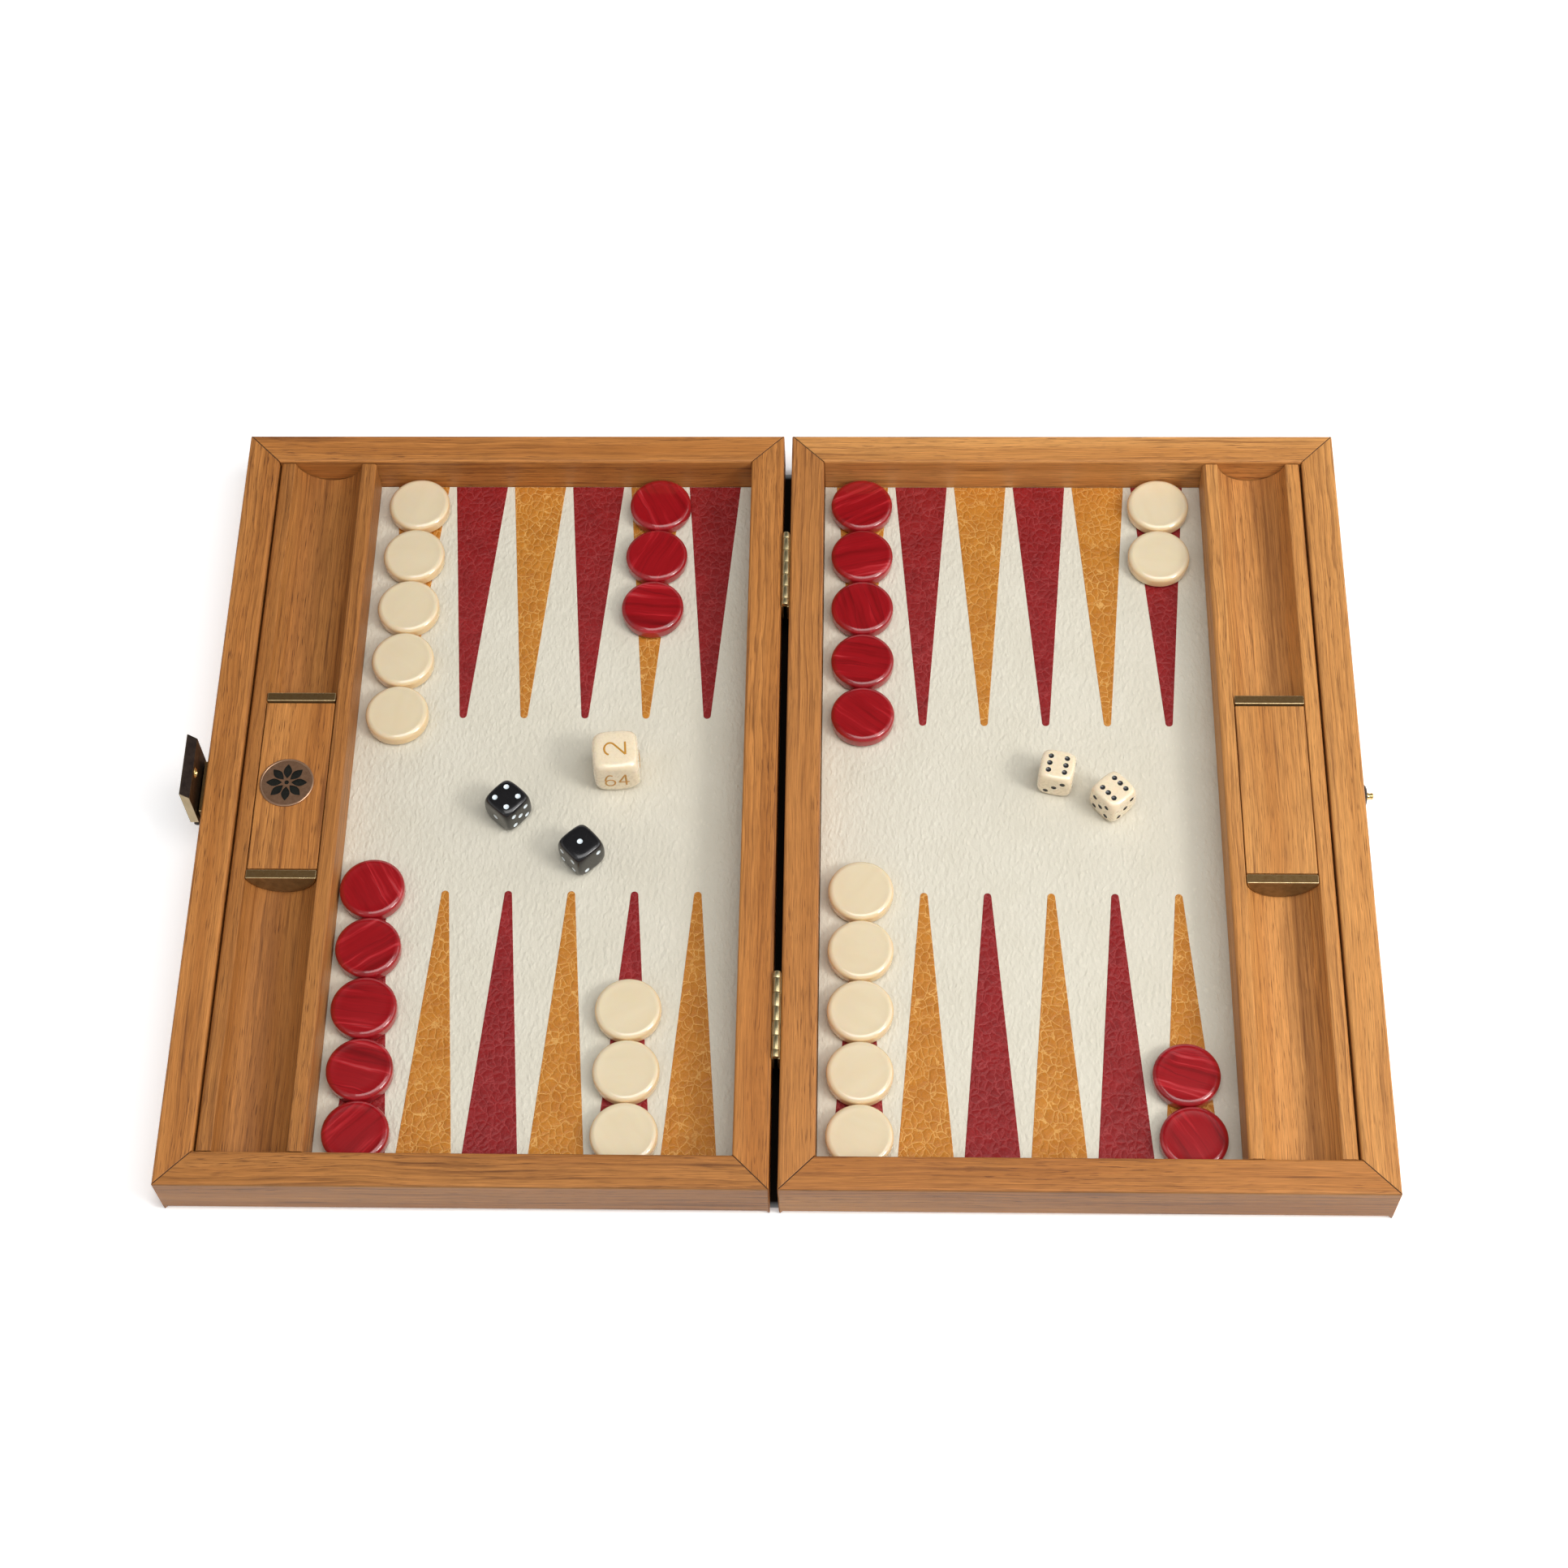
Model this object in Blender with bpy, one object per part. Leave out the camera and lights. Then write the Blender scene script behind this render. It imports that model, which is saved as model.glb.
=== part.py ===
"""Folding travel backgammon set, lying open and laid out for a game.

Metres, +Z up. X runs along the open box, Y from the player at the front (-Y) to the one at the
back (+Y). The origin is on the table, midway between the two halves. The halves fold about a line
along Y just above their rims.
"""

import math

import bmesh
import bpy
from mathutils import Matrix, Vector

MM = 0.001

# Driving dimensions, in millimetres.
HALF_WIDTH = 202.0
DEPTH = 300.0
RIM_Z = 21.5
RAIL_WIDTH = 12.0
HINGE_GAP = 2.9
JOINT_GAP = 0.3
TRAY_DEPTH = 16.05

SURFACE_Z = RIM_Z - TRAY_DEPTH
BOARD_Z = 4.0
REBATE_DEPTH = 4.0
RIM_ROUND = 0.8
FOOT_ROUND = 3.2
FOLD_Z = RIM_Z + 0.2

INNER_HINGE = HINGE_GAP / 2 + RAIL_WIDTH
INNER_OUTER = HALF_WIDTH - RAIL_WIDTH
INNER_Y = DEPTH / 2 - RAIL_WIDTH

# Racks: a half-round channel for the checkers, with a lidded well half-way along.
RACK_X = 153.7
RACK_END_X = INNER_OUTER - 0.7
RACK_Z = RIM_Z - 1.0
RACK_WALL_ROUND = 1.2
CHANNEL_X = 171.5
CHANNEL_HALF = 12.5
CHANNEL_DEPTH = 10.3
CHANNEL_RADIUS = (CHANNEL_HALF**2 + CHANNEL_DEPTH**2) / (2 * CHANNEL_DEPTH)
LID_HALF_LENGTH = 33.3
LID_HALF_WIDTH = 12.1
LID_THICKNESS = 3.2
WELL_HALF_WIDTH = 9.6
WELL_HALF_LENGTH = 31.0
WELL_FLOOR_Z = 7.0
PLATE_THICKNESS = 3.5
PLATE_PROUD = 0.4

# Playing pieces.
CHECKER_RADIUS = 11.2
CHECKER_THICKNESS = 5.5
CHECKER_EDGE = 1.2
CHECKER_SIDES = 20
DIE_SIZE = 12.4
DIE_ROUND = 2.4
CUBE_SIZE = 16.4
CUBE_ROUND = 3.2
PIECE_Z = SURFACE_Z + JOINT_GAP
POINT_PITCH = 22.0
FIRST_POINT_X = 27.7
FIRST_CHECKER_Y = 126.4
CHECKER_PITCH = 22.75

# Hinges: two short strips of seven knuckles in the gap.
HINGE_LENGTH = 31.5
HINGE_YS = {"back": 90.0, "front": -88.0}
KNUCKLE_RADIUS = 1.25
PIN_RADIUS = 0.5
PIN_CLEARANCE = 0.15
KNUCKLE_GAP = 0.3
LEAF_THICKNESS = 0.75
LEAF_DROP = 9.0
KNUCKLE_SHARES = (0.5, 1, 1, 1, 1, 1, 0.5)

# Latch: a flap on the left outer rail whose socket snaps over a stud on the right one.
# Flap sizes are from its pivot, with the flap upright as it is when latched.
FLAP_PIVOT_X = -HALF_WIDTH - 2.9
FLAP_PIVOT_Z = RIM_Z - 8.5
FLAP_LENGTH = 24.0
FLAP_TOP = 18.5
FLAP_TIP = 21.6
FLAP_FOOT = 1.4
FLAP_INNER = 1.0
FLAP_OUTER = -2.1
STUD_Z = RIM_Z - 6.5
STUD_REACH = 3.9
STUD_RADIUS = 1.4
STUD_TIP_RADIUS = 1.15
SOCKET_RADIUS = 1.9
SOCKET_Z = 2 * FOLD_Z - STUD_Z - FLAP_PIVOT_Z
SOCKET_DEPTH = 2.3
ROSETTE_RADIUS = 4.0
ROSETTE_THICKNESS = 1.1
BRACKET_THICKNESS = 1.2
BRACKET_HALF = 10.0
BRACKET_Z = (7.0, 19.0)
LATCH_EYE_RADIUS = 1.1
LATCH_PIN_RADIUS = 0.5
LATCH_BORE_RADIUS = 0.62
LATCH_SPANS = (-12.0, -7.5, -3.5, 3.5, 7.5, 12.0)

WOOD = ("honey_wood", (0.50, 0.25, 0.09), 0.45, 0.0)
SURFACE = ("cream_leatherette", (0.76, 0.72, 0.62), 0.7, 0.0)
ANTIQUE = ("antique_brass", (0.22, 0.16, 0.08), 0.35, 1.0)
BRASS = ("bright_brass", (0.72, 0.56, 0.28), 0.3, 1.0)
IVORY = ("ivory_resin", (0.85, 0.74, 0.55), 0.2, 0.0)
CRIMSON = ("crimson_resin", (0.35, 0.01, 0.02), 0.15, 0.0)
BLACK = ("black_resin", (0.01, 0.01, 0.01), 0.15, 0.0)


def clear_scene():
    for obj in list(bpy.data.objects):
        bpy.data.objects.remove(obj, do_unlink=True)


def material(spec):
    name, colour, roughness, metallic = spec
    found = bpy.data.materials.get(name)
    if found:
        return found
    made = bpy.data.materials.new(name)
    made.use_nodes = True
    shader = made.node_tree.nodes["Principled BSDF"]
    shader.inputs["Base Color"].default_value = (*colour, 1.0)
    shader.inputs["Roughness"].default_value = roughness
    shader.inputs["Metallic"].default_value = metallic
    return made


def add_object(name, mesh, spec, parent=None, origin=(0, 0, 0), turn=None):
    """A named object whose mesh is in millimetres about its own origin."""
    mesh.transform(Matrix.Scale(MM, 4))
    if not mesh.materials:
        mesh.materials.append(material(spec))
    return place_object(name, mesh, parent, origin, turn)


def place_object(name, mesh, parent=None, origin=(0, 0, 0), turn=None):
    obj = bpy.data.objects.new(name, mesh)
    bpy.context.scene.collection.objects.link(obj)
    obj.location = Vector(origin) * MM
    if turn:
        obj.rotation_euler = turn
    if parent:
        obj.parent = parent
        obj.matrix_parent_inverse = Matrix.Identity(4)
        obj.location = obj.location - parent.matrix_world.translation
    return obj


def mesh_from(bm, name):
    bmesh.ops.recalc_face_normals(bm, faces=bm.faces)
    mesh = bpy.data.meshes.new(name)
    bm.to_mesh(mesh)
    bm.free()
    return mesh


def block(low, high):
    """A bmesh box between two corners."""
    bm = bmesh.new()
    bmesh.ops.create_cube(bm, size=1.0)
    size = Vector(high) - Vector(low)
    centre = (Vector(high) + Vector(low)) / 2
    bmesh.ops.scale(bm, vec=size, verts=bm.verts)
    bmesh.ops.translate(bm, vec=centre, verts=bm.verts)
    return bm


def bevel_edges(bm, chosen, width, segments):
    bmesh.ops.bevel(
        bm, geom=chosen, offset=width, segments=segments, profile=0.5, affect="EDGES", clamp_overlap=True
    )


def arc(centre, radius, start_deg, end_deg, steps):
    """Points of an arc in a profile's own plane, both ends included."""
    points = []
    for i in range(steps + 1):
        angle = math.radians(start_deg + (end_deg - start_deg) * i / steps)
        points.append((centre[0] + radius * math.cos(angle), centre[1] + radius * math.sin(angle)))
    return points


def extrude_profile(outline, low_y, high_y):
    """A closed (x, z) outline drawn out along Y."""
    bm = bmesh.new()
    corners = [bm.verts.new((x, low_y, z)) for x, z in outline]
    face = bm.faces.new(corners)
    moved = bmesh.ops.extrude_face_region(bm, geom=[face])["geom"]
    verts = [item for item in moved if isinstance(item, bmesh.types.BMVert)]
    bmesh.ops.translate(bm, vec=(0, high_y - low_y, 0), verts=verts)
    return bm


def cutter(name, bm):
    obj = add_object(name, mesh_from(bm, name), WOOD)
    obj.hide_render = True
    obj.hide_viewport = False
    obj.display_type = "WIRE"
    return obj


def cut(obj, tool):
    modifier = obj.modifiers.new("cut_" + tool.name, "BOOLEAN")
    modifier.operation = "DIFFERENCE"
    modifier.solver = "EXACT"
    modifier.object = tool


def smooth(mesh, angle_deg=35.0):
    mesh.shade_smooth()
    mesh.set_sharp_from_angle(angle=math.radians(angle_deg))


# Box


def rail_profile():
    """Section of a rail: u is 0 on the outer face and RAIL_WIDTH on the inner one, v is height."""
    foot = arc((FOOT_ROUND, FOOT_ROUND), FOOT_ROUND, 270, 180, 3)
    outer_rim = arc((RIM_ROUND, RIM_Z - RIM_ROUND), RIM_ROUND, 180, 90, 2)
    inner_rim = arc((RAIL_WIDTH - RIM_ROUND, RIM_Z - RIM_ROUND), RIM_ROUND, 90, 0, 2)
    rebate_z = BOARD_Z + JOINT_GAP
    ledge = RAIL_WIDTH - REBATE_DEPTH
    return foot + outer_rim + inner_rim + [(RAIL_WIDTH, rebate_z), (ledge, rebate_z), (ledge, 0.0)]


def mitred_rail(length):
    """A rail along +X with its outer face at y = 0, its ends cut back at 45 degrees."""
    bm = bmesh.new()
    rings = []
    for side in (-1, 1):
        ring = []
        for u, v in rail_profile():
            end = length / 2 - u - JOINT_GAP / 2 * math.sqrt(2)
            ring.append(bm.verts.new((side * end, u, v)))
        rings.append(ring)
    count = len(rings[0])
    for i in range(count):
        j = (i + 1) % count
        bm.faces.new((rings[0][i], rings[0][j], rings[1][j], rings[1][i]))
    bm.faces.new(rings[0])
    bm.faces.new(rings[1])
    return bm


def add_rails(side, sign, parent):
    """Four mitred rails of one half. sign is -1 for the left half and 1 for the right."""
    width = HALF_WIDTH - HINGE_GAP / 2
    middle_x = sign * (HALF_WIDTH + HINGE_GAP / 2) / 2
    places = {
        "front_rail": (width, (middle_x, -DEPTH / 2, 0), 0.0),
        "back_rail": (width, (middle_x, DEPTH / 2, 0), math.pi),
        "outer_rail": (DEPTH, (sign * HALF_WIDTH, 0, 0), sign * math.pi / 2),
        "hinge_rail": (DEPTH, (sign * HINGE_GAP / 2, 0, 0), -sign * math.pi / 2),
    }
    rails = {}
    for kind, (length, origin, turn) in places.items():
        name = side + "_" + kind
        mesh = mesh_from(mitred_rail(length), name)
        rails[kind] = add_object(name, mesh, WOOD, parent, origin, (0, 0, turn))
    return rails


def add_panel(side, sign, parent):
    """Base board in the rails' rebate, with the playing surface raised on it."""
    edge = JOINT_GAP - REBATE_DEPTH
    low = (INNER_HINGE + edge, -INNER_Y + edge, 0.0)
    high = (INNER_OUTER - edge, INNER_Y - edge, BOARD_Z)
    bm = block(low, high)
    top = max(bm.faces, key=lambda face: face.calc_center_median().z)
    bmesh.ops.inset_region(bm, faces=[top], thickness=REBATE_DEPTH, use_even_offset=True)
    raised = bmesh.ops.extrude_face_region(bm, geom=[top])["geom"]
    bmesh.ops.delete(bm, geom=[top], context="FACES")
    verts = [item for item in raised if isinstance(item, bmesh.types.BMVert)]
    bmesh.ops.translate(bm, vec=(0, 0, SURFACE_Z - BOARD_Z), verts=verts)
    if sign < 0:
        bmesh.ops.scale(bm, vec=(-1, 1, 1), verts=bm.verts)
    return add_object(side + "_panel", mesh_from(bm, side + "_panel"), SURFACE, parent)


# Racks


def channel_centre_z():
    return RACK_Z - CHANNEL_DEPTH + CHANNEL_RADIUS


def channel_arc(radius, top_z, steps):
    """The channel's curve from its inner lip to its outer one, about the channel's centre."""
    rise = channel_centre_z() - top_z
    half_angle = math.degrees(math.acos(rise / radius))
    return arc((CHANNEL_X, channel_centre_z()), radius, 270 - half_angle, 270 + half_angle, steps)


def add_rack(side, sign, parent):
    inner = arc((RACK_X + RACK_WALL_ROUND, RACK_Z - RACK_WALL_ROUND), RACK_WALL_ROUND, 180, 90, 2)
    outer = arc((RACK_END_X - RACK_WALL_ROUND, RACK_Z - RACK_WALL_ROUND), RACK_WALL_ROUND, 90, 0, 2)
    base_z = SURFACE_Z + JOINT_GAP
    channel = channel_arc(CHANNEL_RADIUS, RACK_Z, 12)
    outline = [(RACK_X, base_z)] + inner + channel + outer + [(RACK_END_X, base_z)]
    outline = [(sign * x, z) for x, z in outline]
    name = side + "_rack"
    length = INNER_Y - 0.4
    rack = add_object(name, mesh_from(extrude_profile(outline, -length, length), name), WOOD, parent)
    seat_half = LID_HALF_WIDTH + JOINT_GAP
    seat_length = LID_HALF_LENGTH + JOINT_GAP
    seat_z = RACK_Z - LID_THICKNESS - JOINT_GAP
    x = sign * CHANNEL_X
    top = RACK_Z + 5
    seat = block((x - seat_half, -seat_length, seat_z), (x + seat_half, seat_length, top))
    well = block(
        (x - WELL_HALF_WIDTH, -WELL_HALF_LENGTH, WELL_FLOOR_Z), (x + WELL_HALF_WIDTH, WELL_HALF_LENGTH, top)
    )
    cut(rack, cutter(side + "_lid_seat_cutter", seat))
    cut(rack, cutter(side + "_well_cutter", well))
    return rack


def add_lid(side, sign, parent):
    x = sign * CHANNEL_X
    z = RACK_Z - LID_THICKNESS
    bm = block((-LID_HALF_WIDTH, -LID_HALF_LENGTH, 0), (LID_HALF_WIDTH, LID_HALF_LENGTH, LID_THICKNESS))
    top_edges = [e for e in bm.edges if all(v.co.z > LID_THICKNESS / 2 for v in e.verts)]
    bevel_edges(bm, top_edges, 0.3, 1)
    return add_object(side + "_rack_lid", mesh_from(bm, side + "_rack_lid"), WOOD, parent, (x, 0, z))


def add_plates(side, sign, parent):
    """Half-moon end plates that fill the channel at both ends of the lid."""
    radius = CHANNEL_RADIUS - JOINT_GAP
    top = RACK_Z + PLATE_PROUD
    outline = [(sign * x, z) for x, z in channel_arc(radius, top, 10)]
    near = LID_HALF_LENGTH + 2 * JOINT_GAP
    for end, y_sign in (("back", 1), ("front", -1)):
        low, high = sorted((y_sign * near, y_sign * (near + PLATE_THICKNESS)))
        name = side + "_" + end + "_plate"
        add_object(name, mesh_from(extrude_profile(outline, low, high), name), ANTIQUE, parent)


# Hinges


def ring_verts(bm, radius, y, sides=14, turn=0.0):
    ring = []
    for i in range(sides):
        angle = 2 * math.pi * i / sides + turn
        ring.append(bm.verts.new((radius * math.cos(angle), y, radius * math.sin(angle))))
    return ring


def bridge(bm, first, second):
    count = len(first)
    for i in range(count):
        j = (i + 1) % count
        bm.faces.new((first[i], first[j], second[j], second[i]))


def tube(low_y, high_y, outer, inner=None, sides=14):
    """A cylinder along Y, bored through where an inner radius is given."""
    bm = bmesh.new()
    outer_rings = [ring_verts(bm, outer, y, sides) for y in (low_y, high_y)]
    bridge(bm, *outer_rings)
    if inner is None:
        for ring in outer_rings:
            bm.faces.new(ring)
        return bm
    inner_rings = [ring_verts(bm, inner, y, sides) for y in (low_y, high_y)]
    bridge(bm, *inner_rings)
    for a, b in zip(outer_rings, inner_rings):
        bridge(bm, a, b)
    return bm


def knuckle_spans():
    """(low y, high y, belongs to the left leaf) of each knuckle, from the front."""
    unit = HINGE_LENGTH / sum(KNUCKLE_SHARES)
    spans = []
    y = -HINGE_LENGTH / 2
    for i, share in enumerate(KNUCKLE_SHARES):
        spans.append((y, y + share * unit, i % 2 == 0))
        y += share * unit
    return spans


def union_all(name, pieces, spec, parent, origin):
    """One object made of overlapping closed bmeshes by Boolean unions."""
    obj = add_object(name, mesh_from(pieces[0], name), spec, parent, origin)
    for i, bm in enumerate(pieces[1:]):
        tool = cutter(name + "_piece_" + str(i), bm)
        tool.location = Vector(origin) * MM
        modifier = obj.modifiers.new("join_" + str(i), "BOOLEAN")
        modifier.operation = "UNION"
        modifier.solver = "EXACT"
        modifier.object = tool
    return obj


def comb_outline(half, low_z, gap_z, teeth):
    """(y, z) outline of a strip whose upper edge rises to each tooth: (low y, high y, top z)."""
    outline = [(-half, low_z), (half, low_z)]
    level = gap_z
    last_y = half
    for low, high, top in reversed(teeth):
        if high < last_y - 1e-6:
            outline += [(last_y, level), (high, level)] if last_y == half else [(high, level)]
        outline += [(high, top), (low, top)]
        if low > -half + 1e-6:
            outline.append((low, level))
        last_y = low
    if last_y > -half + 1e-6:
        outline.append((-half, level))
    return outline


def extrude_across(outline, low_x, high_x):
    """A closed (y, z) outline drawn out along X."""
    bm = bmesh.new()
    face = bm.faces.new([bm.verts.new((low_x, y, z)) for y, z in outline])
    moved = bmesh.ops.extrude_face_region(bm, geom=[face])["geom"]
    verts = [item for item in moved if isinstance(item, bmesh.types.BMVert)]
    bmesh.ops.translate(bm, vec=(high_x - low_x, 0, 0), verts=verts)
    return bm


def add_hinge_leaf(name, sign, y, parent):
    """A leaf with its knuckles. The left one carries the pin, and the right one turns on it."""
    half = HINGE_LENGTH / 2
    bore = PIN_RADIUS + PIN_CLEARANCE
    spans = [(low, high) for low, high, on_left in knuckle_spans() if on_left == (sign < 0)]
    spans = [
        (low + KNUCKLE_GAP / 2 * (low > -half), high - KNUCKLE_GAP / 2 * (high < half - 1e-6))
        for low, high in spans
    ]
    tooth_top = -bore - 0.1
    teeth = [(low, high, tooth_top) for low, high in spans]
    outline = comb_outline(half, -LEAF_DROP, -KNUCKLE_RADIUS - KNUCKLE_GAP, teeth)
    far = HINGE_GAP / 2 - 0.05
    leaf = extrude_across(outline, *sorted((sign * far, sign * (far - LEAF_THICKNESS))))
    pieces = [leaf]
    for low, high in spans:
        pieces.append(tube(low, high, KNUCKLE_RADIUS, None if sign < 0 else bore))
    if sign < 0:
        pieces.append(tube(-half + 0.2, half - 0.2, PIN_RADIUS, sides=10))
    return union_all(name, pieces, BRASS, parent, (0, y, FOLD_Z))


def add_hinges(left, right):
    for place, y in HINGE_YS.items():
        add_hinge_leaf("left_" + place + "_hinge_leaf", -1, y, left)
        add_hinge_leaf("right_" + place + "_hinge_leaf", 1, y, right)


# Latch


def latch_spans(on_flap):
    """(low y, high y) of the latch's knuckles: three on the flap, two on the bracket."""
    spans = zip(LATCH_SPANS, LATCH_SPANS[1:])
    return [(low, high) for i, (low, high) in enumerate(spans) if (i % 2 == 0) == on_flap]


def cylinder_along_x(low_x, high_x, low_radius, high_radius, z, sides=20):
    bm = bmesh.new()
    rings = []
    for x, radius in ((low_x, low_radius), (high_x, high_radius)):
        ring = []
        for i in range(sides):
            angle = 2 * math.pi * i / sides
            ring.append(bm.verts.new((x, radius * math.cos(angle), z + radius * math.sin(angle))))
        rings.append(ring)
    bridge(bm, *rings)
    for ring in rings:
        bm.faces.new(ring)
    return bm


def add_flap():
    """Stands upright at rest. Its socket opens towards the box, and its top slopes down to it."""
    half = FLAP_LENGTH / 2
    origin = (FLAP_PIVOT_X, 0, FLAP_PIVOT_Z)
    section = [
        (FLAP_OUTER, FLAP_FOOT), (FLAP_INNER, FLAP_FOOT), (FLAP_INNER, FLAP_TOP),
        (FLAP_OUTER + 0.4, FLAP_TIP), (FLAP_OUTER, FLAP_TIP - 0.3),
    ]
    pieces = [extrude_profile(section, -half, half)]
    for low, high in latch_spans(True):
        low_y = max(low + KNUCKLE_GAP / 2, -half + 0.01)
        high_y = min(high - KNUCKLE_GAP / 2, half - 0.01)
        pieces.append(tube(low_y, high_y, LATCH_EYE_RADIUS))
        web = (-LATCH_EYE_RADIUS * 0.9, low_y + 0.02, 0.0), (FLAP_INNER * 0.9, high_y - 0.02, FLAP_FOOT + 0.5)
        pieces.append(block(*web))
    flap = union_all("latch_flap", pieces, ANTIQUE, None, origin)
    cuts = {
        "latch_socket_cutter": cylinder_along_x(
            FLAP_INNER - SOCKET_DEPTH, FLAP_INNER + 1, SOCKET_RADIUS, SOCKET_RADIUS, SOCKET_Z
        ),
        "latch_bore_cutter": tube(-half - 1, half + 1, LATCH_BORE_RADIUS, sides=12),
    }
    for name, bm in cuts.items():
        tool = cutter(name, bm)
        tool.location = Vector(origin) * MM
        cut(flap, tool)
    return flap


def add_bracket(parent):
    """A plate screwed to the left outer rail, with two eyes and the pin through them."""
    wall_x = -HALF_WIDTH - JOINT_GAP
    plate_x = wall_x - BRACKET_THICKNESS
    low_z, high_z = BRACKET_Z
    origin = (FLAP_PIVOT_X, 0, FLAP_PIVOT_Z)
    plate = block(
        (plate_x - FLAP_PIVOT_X, -BRACKET_HALF, low_z - FLAP_PIVOT_Z),
        (wall_x - FLAP_PIVOT_X, BRACKET_HALF, high_z - FLAP_PIVOT_Z),
    )
    pieces = [plate]
    for low, high in latch_spans(False):
        low_y = low + KNUCKLE_GAP / 2
        high_y = high - KNUCKLE_GAP / 2
        pieces.append(tube(low_y, high_y, LATCH_EYE_RADIUS))
        reach = plate_x - FLAP_PIVOT_X + 0.3
        pieces.append(block((0, low_y + 0.02, -0.8), (reach, high_y - 0.02, 0.8)))
    pieces.append(tube(-FLAP_LENGTH / 2 + 0.5, FLAP_LENGTH / 2 - 0.5, LATCH_PIN_RADIUS, sides=12))
    return union_all("latch_bracket", pieces, ANTIQUE, parent, origin)


def add_stud(parent):
    """Round rosette on the right outer rail, with a tapered stud."""
    base = HALF_WIDTH + JOINT_GAP
    rosette = cylinder_along_x(0, ROSETTE_THICKNESS, ROSETTE_RADIUS, ROSETTE_RADIUS - 0.3, 0)
    stud = cylinder_along_x(0.5, STUD_REACH - JOINT_GAP, STUD_RADIUS, STUD_TIP_RADIUS, 0)
    return union_all("latch_stud", [rosette, stud], BRASS, parent, (base, 0, STUD_Z))


# Playing pieces


def checker_mesh(name, spec):
    """A disc with a chamfer round both faces, turned about Z with its base at z = 0."""
    inner = CHECKER_RADIUS - CHECKER_EDGE
    top = CHECKER_THICKNESS
    profile = [(inner, 0), (CHECKER_RADIUS, CHECKER_EDGE), (CHECKER_RADIUS, top - CHECKER_EDGE), (inner, top)]
    bm = bmesh.new()
    rings = []
    for radius, z in profile:
        ring = []
        for i in range(CHECKER_SIDES):
            angle = 2 * math.pi * i / CHECKER_SIDES
            ring.append(bm.verts.new((radius * math.cos(angle), radius * math.sin(angle), z)))
        rings.append(ring)
    for lower, upper in zip(rings, rings[1:]):
        bridge(bm, lower, upper)
    bm.faces.new(rings[0])
    bm.faces.new(rings[-1])
    mesh = mesh_from(bm, name)
    mesh.transform(Matrix.Scale(MM, 4))
    mesh.materials.append(material(spec))
    smooth(mesh)
    return mesh


def cube_mesh(name, size, corner, spec):
    """A rounded cube with its base at z = 0."""
    bm = block((-size / 2, -size / 2, 0), (size / 2, size / 2, size))
    bevel_edges(bm, list(bm.edges), corner, 2)
    mesh = mesh_from(bm, name)
    mesh.transform(Matrix.Scale(MM, 4))
    mesh.materials.append(material(spec))
    smooth(mesh, 60)
    return mesh


def checker_columns():
    """(colour, y sign, x at the rail, x at the far end, count) of each column as the game starts."""
    outer = FIRST_POINT_X + 5 * POINT_PITCH
    second = FIRST_POINT_X + POINT_PITCH
    first = FIRST_POINT_X
    return [
        ("ivory", 1, -outer - 0.3, -outer - 1.2, 5),
        ("crimson", 1, -second + 2.1, -second + 0.9, 3),
        ("crimson", -1, -outer - 1.6, -outer - 3.9, 5),
        ("ivory", -1, -second - 0.4, -second - 0.9, 3),
        ("crimson", 1, first - 0.2, first + 0.5, 5),
        ("ivory", 1, outer - 0.2, outer - 0.9, 2),
        ("ivory", -1, first + 0.1, first + 0.2, 5),
        ("crimson", -1, outer + 0.1, outer - 1.2, 2),
    ]


def add_checkers(halves):
    meshes = {"ivory": checker_mesh("ivory_checker", IVORY), "crimson": checker_mesh("crimson_checker", CRIMSON)}
    counts = {"ivory": 0, "crimson": 0}
    for colour, y_sign, near_x, far_x, count in checker_columns():
        for i in range(count):
            counts[colour] += 1
            name = f"{colour}_checker_{counts[colour]:02d}"
            x = near_x + (far_x - near_x) * i / max(count - 1, 1)
            y = y_sign * (FIRST_CHECKER_Y - CHECKER_PITCH * i)
            place_object(name, meshes[colour], halves[x > 0], (x, y, PIECE_Z))


def add_dice(halves):
    """The dice and the doubling cube where they were thrown: x, y and turn about Z in degrees."""
    ivory = cube_mesh("ivory_die", DIE_SIZE, DIE_ROUND, IVORY)
    black = cube_mesh("black_die", DIE_SIZE, DIE_ROUND, BLACK)
    doubling = cube_mesh("doubling_cube", CUBE_SIZE, CUBE_ROUND, IVORY)
    thrown = [
        ("ivory_die_1", ivory, 96.6, 10.7, -12),
        ("ivory_die_2", ivory, 115.9, 1.2, 41.5),
        ("black_die_1", black, -96.1, -3.3, 48.5),
        ("black_die_2", black, -69.4, -20.9, 43),
        ("doubling_cube", doubling, -58.7, 14.0, 5),
    ]
    for name, mesh, x, y, turn in thrown:
        place_object(name, mesh, halves[x > 0], (x, y, PIECE_Z), (0, 0, math.radians(turn)))


def empty(name, origin):
    obj = bpy.data.objects.new(name, None)
    bpy.context.scene.collection.objects.link(obj)
    obj.location = Vector(origin) * MM
    obj.empty_display_size = 0.02
    bpy.context.view_layer.update()
    return obj


def main():
    clear_scene()
    left = empty("left_half", (0, 0, FOLD_Z))
    right = empty("right_half", (0, 0, FOLD_Z))
    for side, sign, parent in (("left", -1, left), ("right", 1, right)):
        add_rails(side, sign, parent)
        add_panel(side, sign, parent)
        add_rack(side, sign, parent)
        add_lid(side, sign, parent)
        add_plates(side, sign, parent)
    add_hinges(left, right)
    add_bracket(left)
    add_flap()
    add_stud(right)
    add_checkers((left, right))
    add_dice((left, right))


main()
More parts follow.
